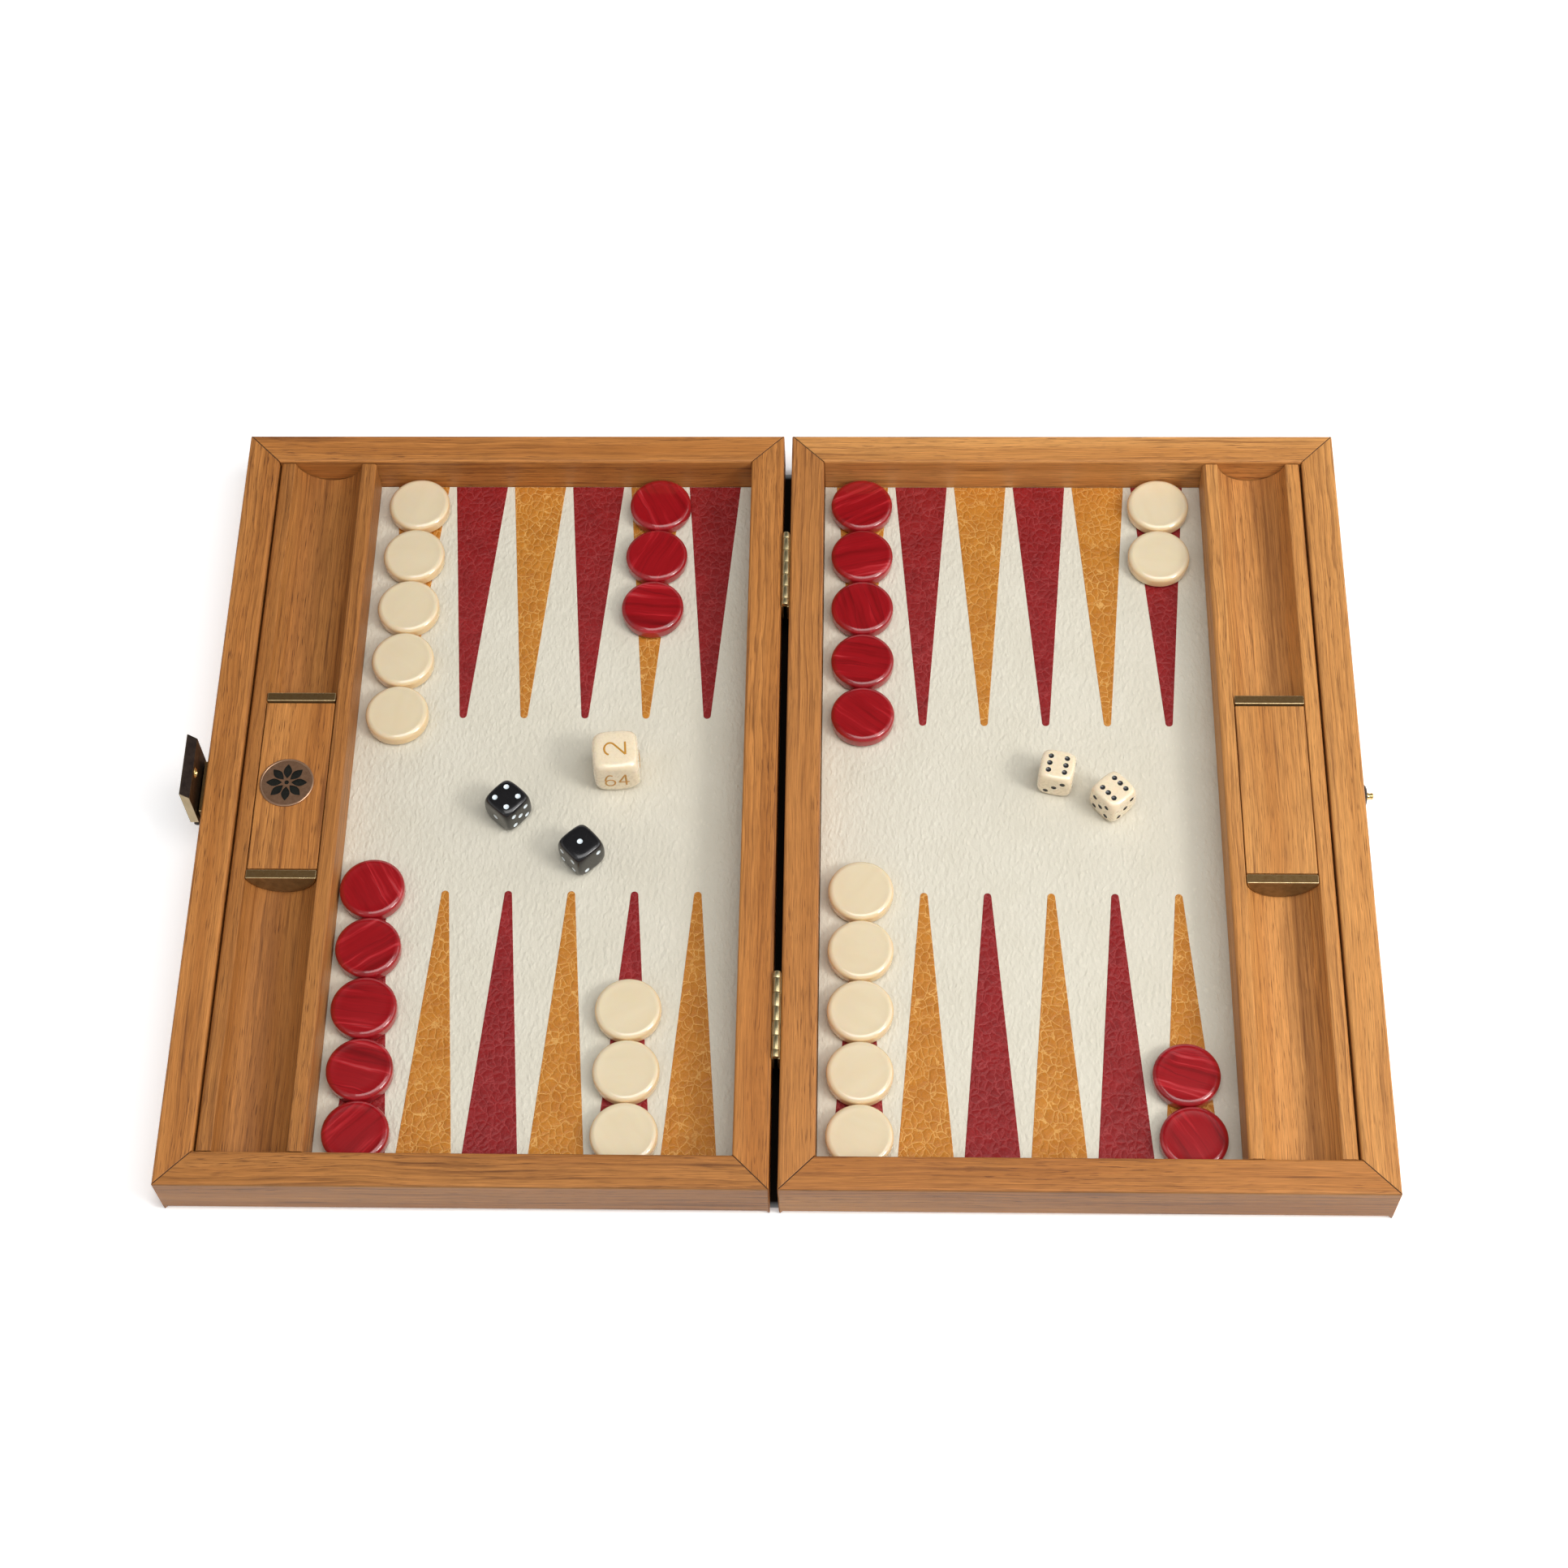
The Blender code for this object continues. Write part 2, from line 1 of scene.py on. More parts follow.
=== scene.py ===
# %% [markdown]
# A folding backgammon set, finished for rendering
#
# The set is a shallow wooden box that opens into two trays. Its rails are veneered, its floor is
# covered in leatherette with inlaid points, and its small fittings are antique brass. The plain
# model comes in first as a fixed frame, and every finished piece below is placed by that frame.

import math
import random

import bmesh
import bpy
from mathutils import Matrix, Vector


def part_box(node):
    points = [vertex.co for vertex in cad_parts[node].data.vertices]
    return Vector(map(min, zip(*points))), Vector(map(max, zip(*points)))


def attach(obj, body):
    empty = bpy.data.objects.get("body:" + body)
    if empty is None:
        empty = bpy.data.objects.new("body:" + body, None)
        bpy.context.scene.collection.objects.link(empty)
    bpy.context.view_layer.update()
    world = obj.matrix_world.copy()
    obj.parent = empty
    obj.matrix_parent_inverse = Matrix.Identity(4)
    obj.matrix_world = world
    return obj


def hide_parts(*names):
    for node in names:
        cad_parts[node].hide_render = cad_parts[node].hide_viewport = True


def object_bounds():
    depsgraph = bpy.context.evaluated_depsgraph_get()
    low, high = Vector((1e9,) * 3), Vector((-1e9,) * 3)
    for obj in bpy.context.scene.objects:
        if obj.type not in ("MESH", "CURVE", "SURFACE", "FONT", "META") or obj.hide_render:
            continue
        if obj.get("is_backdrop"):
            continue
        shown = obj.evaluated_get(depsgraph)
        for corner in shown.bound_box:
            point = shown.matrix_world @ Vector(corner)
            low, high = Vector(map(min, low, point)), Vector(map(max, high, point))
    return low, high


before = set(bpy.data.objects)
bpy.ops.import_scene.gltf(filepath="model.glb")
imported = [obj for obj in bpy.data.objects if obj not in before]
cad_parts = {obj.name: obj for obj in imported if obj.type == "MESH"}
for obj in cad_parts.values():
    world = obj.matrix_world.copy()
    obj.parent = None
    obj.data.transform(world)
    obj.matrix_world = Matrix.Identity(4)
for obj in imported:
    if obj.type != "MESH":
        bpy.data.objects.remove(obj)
cad_box = [list(corner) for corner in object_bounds()]
MM = 0.001
SIDES = (("left", -1), ("right", 1))


def put_in_scene(name, data):
    """A new object at the origin that holds this mesh, light, curve or camera."""
    obj = bpy.data.objects.new(name, data)
    bpy.context.scene.collection.objects.link(obj)
    return obj


def box_of(node):
    """A plain node's low and high corners, in millimetres."""
    return [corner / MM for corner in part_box(node)]


# %% [markdown]
# Camera
#
# The set is seen from the front and well above, close enough for the trays to taper. A camera that
# is described by a target, two angles, a small roll and a distance is easy to change one at a time.

# %% Camera
rim_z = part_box("left_front_rail")[1].z
CAMERA_TARGET = Vector((0.00098, 0.00033, rim_z))
CAMERA_AZIMUTH = 3.35
CAMERA_ELEVATION = 60.4
CAMERA_ROLL = -2.69
CAMERA_DISTANCE = 1.003
CAMERA_LENS = 66.16


def aim_camera():
    azimuth, elevation, roll = (math.radians(a) for a in (CAMERA_AZIMUTH, CAMERA_ELEVATION, CAMERA_ROLL))
    outward = math.cos(elevation)
    back = Vector((math.sin(azimuth) * outward, -math.cos(azimuth) * outward, math.sin(elevation)))
    level = (-back).cross(Vector((0, 0, 1))).normalized()
    upright = level.cross(-back)
    right = level * math.cos(roll) + upright * math.sin(roll)
    up = upright * math.cos(roll) - level * math.sin(roll)
    camera = put_in_scene("camera", bpy.data.cameras.new("camera"))
    camera.data.lens = CAMERA_LENS
    turn = Matrix((right, up, back)).transposed().to_4x4()
    camera.matrix_world = Matrix.Translation(CAMERA_TARGET + back * CAMERA_DISTANCE) @ turn
    bpy.context.scene.camera = camera


aim_camera()
print("camera:", CAMERA_LENS, "mm at", CAMERA_DISTANCE, "m")

# %% [markdown]
# A way to write finishes
#
# Every finish is a small graph of nodes. This helper adds a node, fills its sockets with numbers or
# links, and returns it, so that a recipe below reads from top to bottom like a list of coats.


# %% Recipe helper
class Recipe:
    """A material whose nodes are added one coat at a time."""

    def __init__(self, name):
        self.material = bpy.data.materials.new(name)
        self.material.use_nodes = True
        self.tree = self.material.node_tree
        self.shader = self.tree.nodes["Principled BSDF"]

    def fill(self, socket, value):
        if isinstance(value, bpy.types.NodeSocket):
            self.tree.links.new(value, socket)
        else:
            socket.default_value = value

    def add(self, kind, inputs=None, **settings):
        made = self.tree.nodes.new(kind)
        for key, value in settings.items():
            setattr(made, key, value)
        for key, value in (inputs or {}).items():
            self.fill(made.inputs[key], value)
        return made

    def finish(self, **inputs):
        for key, value in inputs.items():
            self.fill(self.shader.inputs[key.replace("_", " ")], value)
        return self.material

    def maths(self, operation, first, second=0.0, clamp=False):
        made = self.add("ShaderNodeMath", {0: first, 1: second}, operation=operation, use_clamp=clamp)
        return made.outputs[0]

    def times(self, first, second, clamp=False):
        return self.maths("MULTIPLY", first, second, clamp)

    def minus(self, first, second, clamp=False):
        return self.maths("SUBTRACT", first, second, clamp)

    def uv(self, name):
        return self.add("ShaderNodeUVMap", uv_map=name).outputs[0]

    def place(self):
        return self.add("ShaderNodeTexCoord").outputs["Object"]

    def attribute(self, name):
        return self.add("ShaderNodeAttribute", attribute_name=name).outputs["Fac"]

    def stretch(self, vector, scale, turn=0.0, shift=(0, 0, 0)):
        inputs = {"Vector": vector, "Scale": scale, "Rotation": (0, 0, turn), "Location": shift}
        return self.add("ShaderNodeMapping", inputs).outputs[0]

    def noise(self, vector, scale=1.0, detail=3.0, rough=0.5, distortion=0.0, colour=False):
        inputs = {"Vector": vector, "Scale": scale, "Detail": detail, "Roughness": rough}
        made = self.add("ShaderNodeTexNoise", {**inputs, "Distortion": distortion})
        return made.outputs["Color" if colour else "Fac"]

    def streaks(self, vector, along, across, detail=3.0, rough=0.5, distortion=0.0, shift=(0, 0, 0)):
        """A noise of so many grains to the metre along a map and across it."""
        drawn_out = self.stretch(vector, (along, across, 1), shift=shift)
        return self.noise(drawn_out, detail=detail, rough=rough, distortion=distortion)

    def cells(self, vector, scale, feature):
        made = self.add("ShaderNodeTexVoronoi", {"Vector": vector, "Scale": scale}, feature=feature)
        return made.outputs["Distance"]

    def warp(self, vector, amount, scale, detail=2.0):
        """The vector pushed about by a noise, so that nothing runs quite straight."""
        push = self.noise(vector, scale, detail, colour=True)
        centred = self.add("ShaderNodeVectorMath", {0: push, 1: (0.5, 0.5, 0.5)}, operation="SUBTRACT")
        inputs = {0: centred.outputs[0], 1: (amount, amount, amount), 2: vector}
        return self.add("ShaderNodeVectorMath", inputs, operation="MULTIPLY_ADD").outputs[0]

    def ramp(self, factor, stops, smooth=False):
        made = self.add("ShaderNodeValToRGB", {"Fac": factor})
        made.color_ramp.interpolation = "EASE" if smooth else "LINEAR"
        elements = made.color_ramp.elements
        while len(elements) < len(stops):
            elements.new(1.0)
        for element, (position, colour) in zip(elements, stops):
            element.position = position
            element.color = (*colour, 1) if isinstance(colour, tuple) else (colour, colour, colour, 1)
        return made.outputs["Color"]

    def mix(self, factor, first, second, blend="MIX"):
        made = self.add("ShaderNodeMix", data_type="RGBA", blend_type=blend)
        for index, value in ((0, factor), (6, first), (7, second)):
            self.fill(made.inputs[index], (*value, 1) if isinstance(value, tuple) else value)
        return made.outputs[2]

    def bump(self, height, depth, strength):
        inputs = {"Height": height, "Distance": depth, "Strength": strength}
        return self.add("ShaderNodeBump", inputs).outputs[0]


# %% [markdown]
# Floor and light
#
# A pale floor and plain soft boxes, as on a product table. The checkers are polished and are seen
# from above, so whatever hangs over the far side of the table is mirrored in them. It is left
# dark: the big overhead box hangs towards the front, and the key box stands to the front right, so
# shadows are soft and fall to the left and each shoulder catches one short highlight.

# %% Floor and lights
FLOOR_SIZE = 8.0
FLOOR_GLOW = 0.36
FOOTPRINT_SHARE = 0.97
GLOW_RISE = 25.0
SEAM_SHADE_HALF = 1.6 * MM
SEAM_SHADE_SHARE = 0.985
WORLD_STRENGTH = 0.34
DARK_CLOTH_WAY = (-0.03, 0.53, 0.85)
CLOTH_EDGE = {"From Min": 0.72, "From Max": 0.88, "To Min": WORLD_STRENGTH, "To Max": 0.02}


def add_floor():
    """Pale paper that glows a little outside the set's footprint, so that it stays white.

    It is painted dark in the narrow seam between the trays, as painted shade, where hardly any light gets
    in.
    """
    bm = bmesh.new()
    bmesh.ops.create_grid(bm, x_segments=1, y_segments=1, size=FLOOR_SIZE / 2)
    mesh = bpy.data.meshes.new("floor")
    bm.to_mesh(mesh)
    bm.free()
    mesh.transform(Matrix.Translation((0, 0, -0.2 * MM)))
    floor = put_in_scene("floor", mesh)
    paper = Recipe("pale_floor")
    place = paper.add("ShaderNodeSeparateXYZ", {"Vector": paper.place()})
    across, along = (paper.maths("ABSOLUTE", place.outputs[axis]) for axis in ("X", "Y"))
    share_x = paper.maths("DIVIDE", across, cad_box[1][0])
    share_y = paper.maths("DIVIDE", along, cad_box[1][1])
    beyond = paper.minus(paper.maths("MAXIMUM", share_x, share_y), FOOTPRINT_SHARE)
    painted_rim_glow = paper.times(paper.times(beyond, GLOW_RISE, clamp=True), FLOOR_GLOW)
    # The floor's colour is painted near black in the seam between the trays: painted shade.
    seam_shade_mask = paper.maths("LESS_THAN", across, SEAM_SHADE_HALF)
    seam_shade_mask = paper.times(seam_shade_mask, paper.maths("LESS_THAN", share_y, SEAM_SHADE_SHARE))
    mesh.materials.append(
        paper.finish(
            Base_Color=paper.mix(seam_shade_mask, (0.93, 0.93, 0.93), (0.02, 0.015, 0.012)),
            Roughness=0.95,
            Specular_IOR_Level=0.0,
            Emission_Color=(1, 1, 1, 1),
            Emission_Strength=painted_rim_glow,
        )
    )
    floor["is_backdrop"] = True


def add_softbox(name, place, size, power, colour=(1, 1, 1), aim=(0, 0, 0.01)):
    light = bpy.data.lights.new(name, "AREA")
    light.shape = "RECTANGLE"
    light.size, light.size_y = size
    light.energy = power
    light.color = colour
    box = put_in_scene(name, light)
    toward = Vector(aim) - Vector(place)
    box.matrix_world = Matrix.Translation(place) @ toward.to_track_quat("-Z", "Y").to_matrix().to_4x4()


add_floor()
add_softbox("overhead_softbox", (0.4, -0.25, 1.7), (1.7, 1.1), 20.2, aim=(0.4, 0, 0.01))
add_softbox("key_softbox", (1.15, -0.55, 1.1), (0.5, 0.4), 11.8, (1.0, 0.985, 0.96))
add_softbox("left_strip", (-0.8, -0.8, 1.0), (0.22, 0.5), 0.5)
add_softbox("right_panel", (1.7, 0.2, 0.9), (1.4, 1.0), 6.5)
add_softbox("left_panel", (-1.6, -0.2, 0.9), (1.4, 1.0), 1.6)
add_softbox("back_panel", (0.0, 1.9, 0.55), (2.4, 0.6), 3.4)


def add_world():
    """A white room with a dark cloth over the far side, in the part that the flat tops mirror."""
    world = bpy.data.worlds.new("studio")
    bpy.context.scene.world = world
    world.use_nodes = True
    tree = world.node_tree
    way = tree.nodes.new("ShaderNodeTexCoord").outputs["Generated"]
    toward = tree.nodes.new("ShaderNodeVectorMath")
    toward.operation = "DOT_PRODUCT"
    tree.links.new(way, toward.inputs[0])
    toward.inputs[1].default_value = DARK_CLOTH_WAY
    cloth = tree.nodes.new("ShaderNodeMapRange")
    cloth.interpolation_type = "SMOOTHSTEP"
    tree.links.new(toward.outputs["Value"], cloth.inputs["Value"])
    for socket, value in CLOTH_EDGE.items():
        cloth.inputs[socket].default_value = value
    tree.links.new(cloth.outputs[0], tree.nodes["Background"].inputs["Strength"])
    tree.nodes["Background"].inputs["Color"].default_value = (1, 1, 1, 1)


add_world()
bpy.context.scene.view_settings.view_transform = "Standard"

# %% [markdown]
# Wood veneer
#
# The rails, racks and lids are faced with a honey-brown veneer: long soft streaks along the grain,
# short dark pores and broad changes of tone, under a satin lacquer. The grain has to follow each
# stick of wood, so the finish reads a UV map called grain, in metres, with U along the stick.

# %% Veneer finish
VENEER_TONES = {
    "warm": ((0.384, 0.138, 0.029), (0.555, 0.232, 0.060), (0.142, 0.045, 0.013)),
    "middle": ((0.362, 0.133, 0.030), (0.525, 0.223, 0.061), (0.162, 0.054, 0.017)),
    "pale": ((0.487, 0.200, 0.051), (0.673, 0.324, 0.099), (0.209, 0.077, 0.024)),
    "brown": ((0.322, 0.116, 0.025), (0.465, 0.196, 0.051), (0.110, 0.035, 0.010)),
    # This last tone is the same veneer painted darker, as painted shade on the front rails' outward faces.
    "painted_front_shade": ((0.250, 0.100, 0.026), (0.350, 0.160, 0.048), (0.092, 0.033, 0.012)),
}


def veneer(name, deep, light, dark, heart_and_shade=None):
    """The last argument gives the middle and half width of a darker streak across the map, in mm, and its
    strength. On the racks this streak runs down the channel's right side, partly heartwood and partly
    painted shade.
    """
    recipe = Recipe(name)
    grain = recipe.warp(recipe.uv("grain"), 0.004, 14.0)
    tone_noise = recipe.streaks(grain, 3.0, 75.0, detail=4, rough=0.55)
    base = recipe.mix(recipe.ramp(tone_noise, [(0.32, 0.0), (0.68, 1.0)]), deep, light)
    waves = {"Scale": 120.0, "Distortion": 6.0, "Detail": 3.0, "Detail Scale": 1.6, "Detail Roughness": 0.6}
    waves["Vector"] = recipe.stretch(grain, (0.08, 1.0, 1))
    figure = recipe.add("ShaderNodeTexWave", waves, bands_direction="Y", wave_profile="SAW").outputs["Fac"]
    rings = recipe.ramp(figure, [(0.0, 0.0), (0.72, 0.35), (0.93, 1.0), (1.0, 0.0)], smooth=True)
    patch_noise = recipe.streaks(grain, 5, 26, detail=1)
    patch = recipe.ramp(patch_noise, [(0.40, 0.10), (0.62, 0.62)])
    shade = recipe.mix(recipe.times(rings, patch), base, dark)
    streak_noise = recipe.streaks(grain, 13.0, 420.0, detail=5, rough=0.66)
    streaks = recipe.ramp(streak_noise, [(0.50, 0.0), (0.74, 1.0)], smooth=True)
    shade = recipe.mix(recipe.times(streaks, 0.85), shade, dark)
    pore_noise = recipe.streaks(grain, 120.0, 2900.0, detail=2, rough=0.55)
    pores = recipe.ramp(pore_noise, [(0.585, 0.0), (0.665, 1.0)])
    crowd_noise = recipe.streaks(grain, 10, 95, shift=(9, 4, 0))
    pores = recipe.times(pores, recipe.ramp(crowd_noise, [(0.36, 0.22), (0.62, 0.95)]))
    shade = recipe.mix(pores, shade, tuple(0.9 * channel for channel in dark))
    fibre_noise = recipe.streaks(grain, 60.0, 2600.0, detail=3, rough=0.7)
    fibres = recipe.ramp(fibre_noise, [(0.3, 0.73), (0.7, 1.30)])
    shade = recipe.mix(1.0, shade, fibres, "MULTIPLY")
    height = recipe.minus(fibre_noise, recipe.times(pores, 1.2))
    if heart_and_shade:
        middle, half_width, strength = heart_and_shade
        across = recipe.add("ShaderNodeSeparateXYZ", {"Vector": recipe.warp(grain, 0.006, 22.0)})
        away = recipe.minus(across.outputs["Y"], middle * MM)
        away = recipe.maths("ABSOLUTE", away)
        cover = recipe.minus(1.0, recipe.maths("DIVIDE", away, half_width * MM), clamp=True)
        fine = recipe.streaks(grain, 12.0, 900.0, detail=4, rough=0.6)
        cover = recipe.times(cover, recipe.ramp(fine, [(0.38, 0.25), (0.60, 1.0)]))
        shade = recipe.mix(recipe.times(cover, strength), shade, dark)
    return recipe.finish(
        Base_Color=shade,
        Roughness=recipe.ramp(fibre_noise, [(0.2, 0.42), (0.8, 0.58)]),
        Specular_IOR_Level=0.25,
        Coat_Weight=0.05,
        Coat_Roughness=0.32,
        Normal=recipe.bump(height, 0.0001, 0.5),
    )


VENEER = {tone: veneer(tone + "_veneer", *colours) for tone, colours in VENEER_TONES.items()}
# The racks' darker streak down the right side of each channel is heartwood and painted shade together.
HEARTWOOD_AND_SHADE = {
    "left": veneer("left_heartwood_and_shade", *VENEER_TONES["brown"], heart_and_shade=(70.5, 4.5, 0.45)),
    "right": veneer("right_heartwood_and_shade", *VENEER_TONES["pale"], heart_and_shade=(78.5, 6.5, 0.75)),
}
print("veneers:", sorted(VENEER))

# %% [markdown]
# Leatherette
#
# The floor of each tray is a cream embossed leatherette. Its grain is a field of small soft pebbles
# with a faint slant. The inlaid points are cut from a coarser hide: mustard with pale crackle
# lines, and burgundy with finer ones. Voronoi cells make pebbles and cracks, and warping them first
# takes the hard machine look away.

# %% Leatherette finishes
PEBBLE = 1 / 0.0014
CRACKLE = 1 / 0.0027


def cream_leatherette():
    recipe = Recipe("cream_hide")
    place = recipe.warp(recipe.place(), 0.0014, 330.0)
    slanted = recipe.stretch(place, (1.15, 0.58, 1.0), turn=math.radians(28))
    pebbles = recipe.cells(slanted, PEBBLE, "SMOOTH_F1")
    small = recipe.cells(slanted, 2.1 * PEBBLE, "SMOOTH_F1")
    folds = recipe.noise(recipe.stretch(place, (1, 0.5, 1), turn=0.7), 560.0, 4, 0.6)
    height = recipe.minus(recipe.times(folds, 0.8), pebbles)
    height = recipe.minus(height, recipe.times(small, 0.35))
    mottle = recipe.ramp(recipe.noise(recipe.place(), 60.0, 3), [(0.3, 0.0), (0.7, 1.0)])
    colour = recipe.mix(mottle, (0.695, 0.655, 0.542), (0.725, 0.686, 0.576))
    # The low parts between the pebbles are painted up to 7 percent darker, as painted shade.
    pebble_valley_shade = recipe.ramp(height, [(-0.35, 0.93), (0.25, 1.0)])
    return recipe.finish(
        Base_Color=recipe.mix(1.0, colour, pebble_valley_shade, "MULTIPLY"),
        Roughness=0.75,
        Specular_IOR_Level=0.15,
        Normal=recipe.bump(height, 0.00038, 0.85),
    )


def hide(name, base, deep, vein, vein_strength, depth):
    """A coarser dyed hide: raised cells parted by paler cracks."""
    recipe = Recipe(name)
    place = recipe.warp(recipe.place(), 0.0020, 300.0, 3)
    slanted = recipe.stretch(place, (1.0, 0.8, 1.0), turn=math.radians(-24))
    edge = recipe.cells(slanted, CRACKLE, "DISTANCE_TO_EDGE")
    fine_edge = recipe.cells(slanted, 2.2 * CRACKLE, "DISTANCE_TO_EDGE")
    coverage = recipe.ramp(recipe.noise(recipe.place(), 110.0, 2), [(0.30, 0.45), (0.60, 1.0)])
    cracks = recipe.ramp(edge, [(0.0, 1.0), (0.055, 0.0)], smooth=True)
    fine = recipe.ramp(fine_edge, [(0.0, 1.0), (0.07, 0.0)], smooth=True)
    both = recipe.maths("ADD", cracks, recipe.times(fine, 0.3), clamp=True)
    lines = recipe.times(both, coverage)
    tone = recipe.noise(recipe.place(), 130.0, 4, 0.6)
    colour = recipe.mix(recipe.ramp(tone, [(0.32, 0.0), (0.68, 1.0)]), deep, base)
    colour = recipe.mix(recipe.times(lines, vein_strength), colour, vein)
    rounded = recipe.ramp(edge, [(0.0, 0.0), (0.30, 1.0)], smooth=True)
    height = recipe.maths("ADD", rounded, recipe.times(recipe.noise(place, 900.0, 3), 0.5))
    height = recipe.minus(height, recipe.times(fine, 0.4))
    return recipe.finish(
        Base_Color=colour,
        Roughness=0.5,
        Specular_IOR_Level=0.4,
        Normal=recipe.bump(height, depth, 0.8),
    )


CREAM = cream_leatherette()
MUSTARD_DYES = (0.530, 0.200, 0.019), (0.440, 0.150, 0.011), (0.80, 0.46, 0.140)
MUSTARD = hide("mustard_hide", *MUSTARD_DYES, vein_strength=0.72, depth=0.00022)
BURGUNDY_DYES = (0.265, 0.0060, 0.0072), (0.205, 0.0040, 0.0048), (0.46, 0.075, 0.075)
BURGUNDY = hide("burgundy_hide", *BURGUNDY_DYES, vein_strength=0.45, depth=0.00020)
print("leatherettes:", CREAM.name, MUSTARD.name, BURGUNDY.name)

# %% [markdown]
# Resins
#
# The checkers and dice are cast resin. The ivory one is slightly translucent, so it glows amber
# where it is thin, at the rim; on the checkers this rim glow is painted into the colour, in amber
# on the ivory and in a brighter red on the crimson. The crimson one is pearlescent: bands of bright
# and deep red run across each piece, in a direction of its own, which comes from a UV map called
# swirl.


# %% Resin finishes
def ivory_resin():
    recipe = Recipe("cast_ivory")
    rim = recipe.attribute("rim")
    cloud = recipe.streaks(recipe.uv("swirl"), 40.0, 160.0, detail=3, distortion=0.4)
    cloud = recipe.ramp(cloud, [(0.3, 0.0), (0.7, 1.0)])
    body = recipe.mix(cloud, (0.748, 0.628, 0.425), (0.768, 0.655, 0.455))
    return recipe.finish(
        # The rim is painted a warmer amber, as painted glow of light through the thin edge.
        Base_Color=recipe.mix(recipe.times(rim, 0.75), body, (0.78, 0.54, 0.26)),
        Roughness=0.26,
        Subsurface_Weight=0.25,
        Subsurface_Radius=(1.0, 0.55, 0.25),
        Subsurface_Scale=0.0015,
        Coat_Weight=1.0,
        Coat_Roughness=0.035,
    )


def crimson_resin():
    recipe = Recipe("cast_crimson")
    swirl = recipe.warp(recipe.uv("swirl"), 0.0030, 60.0, 2)
    bands = recipe.streaks(swirl, 14.0, 230.0, detail=4, rough=0.6, distortion=0.2)
    streaks = recipe.streaks(swirl, 45.0, 1500.0, detail=2, rough=0.6)
    deep = (0.215, 0.0030, 0.0050)
    body = (0.300, 0.0048, 0.0085)
    pearl = (0.430, 0.0150, 0.0210)
    bright = (0.480, 0.0520, 0.0600)
    stops = [(0.36, deep), (0.47, body), (0.56, body), (0.62, pearl), (0.67, bright), (0.72, pearl)]
    colour = recipe.ramp(bands, stops)
    colour = recipe.mix(1.0, colour, recipe.ramp(streaks, [(0.3, 0.90), (0.7, 1.10)]), "MULTIPLY")
    seam = recipe.streaks(swirl, 5.0, 75.0, detail=1, shift=(5, 2, 0))
    offset = recipe.maths("ABSOLUTE", recipe.minus(seam, 0.5))
    colour = recipe.mix(recipe.ramp(offset, [(0.0, 0.5), (0.010, 0.0)]), colour, (0.13, 0.002, 0.004))
    # The rim is painted a brighter red, as painted glow of light through the thin edge.
    painted_rim_glow = recipe.mix(recipe.times(recipe.attribute("rim"), 0.4), colour, (0.40, 0.010, 0.018))
    return recipe.finish(
        Base_Color=painted_rim_glow,
        Roughness=0.3,
        Specular_IOR_Level=0.4,
        Subsurface_Weight=0.1,
        Subsurface_Radius=(1.0, 0.12, 0.08),
        Subsurface_Scale=0.0012,
        Coat_Weight=0.75,
        Coat_Roughness=0.035,
    )


def plain_finish(name, low, high, roughness, coat=0.0, depth=0.0):
    """Depth is how far light wanders inside, in metres; most of these paints and resins have none."""
    recipe = Recipe(name)
    cloud = recipe.noise(recipe.place(), 260.0, 3)
    if depth:
        recipe.finish(Subsurface_Weight=0.25, Subsurface_Radius=(1.0, 0.6, 0.3), Subsurface_Scale=depth)
    rub = recipe.noise(recipe.place(), 900.0, 2)
    return recipe.finish(
        Base_Color=recipe.mix(cloud, low, high),
        Roughness=recipe.ramp(rub, [(0.2, roughness), (0.8, roughness + 0.08)]),
        Coat_Weight=coat,
        Coat_Roughness=0.06,
    )


IVORY = ivory_resin()
CRIMSON = crimson_resin()
DIE_IVORY = plain_finish("ivory_dice", (0.830, 0.695, 0.490), (0.860, 0.735, 0.540), 0.24, 1.0, depth=0.0015)
DIE_BLACK = plain_finish("black_dice", (0.009, 0.009, 0.010), (0.014, 0.013, 0.014), 0.2, 0.25)
PIP_BLACK = plain_finish("black_pips", (0.010, 0.010, 0.011), (0.018, 0.017, 0.018), 0.16, 0.5)
PIP_WHITE = plain_finish("white_pips", (0.72, 0.80, 0.84), (0.80, 0.88, 0.92), 0.3, 0.2)
OCHRE = plain_finish("ochre_numerals", (0.49, 0.215, 0.014), (0.58, 0.275, 0.026), 0.4, 0.2)
print("resins:", IVORY.name, CRIMSON.name, DIE_IVORY.name, DIE_BLACK.name)

# %% [markdown]
# Metals
#
# The plates and latch are antique brass and the medallion is antique copper: a brown patina that is
# rubbed bright along the edges. A Bevel modifier can hand its new faces to a second material, so
# the rubbed edges sit exactly where hands would rub them. The hinges are a paler, newer brass.


# %% Metal finishes
def metal(name, dark, light, roughness, patch_scale=420.0, brushed=(1, 1, 1), metallic=1.0):
    recipe = Recipe(name)
    place = recipe.stretch(recipe.place(), brushed)
    patches = recipe.noise(place, patch_scale, 5, 0.65)
    specks = recipe.noise(place, 5 * patch_scale, 2, 0.6)
    colour = recipe.mix(recipe.ramp(patches, [(0.3, 0.0), (0.7, 1.0)]), dark, light)
    uneven = recipe.ramp(patches, [(0.25, roughness + 0.1), (0.75, roughness - 0.06)])
    return recipe.finish(
        Base_Color=colour,
        Metallic=metallic,
        Roughness=uneven,
        Normal=recipe.bump(specks, 0.00003, 0.5),
    )


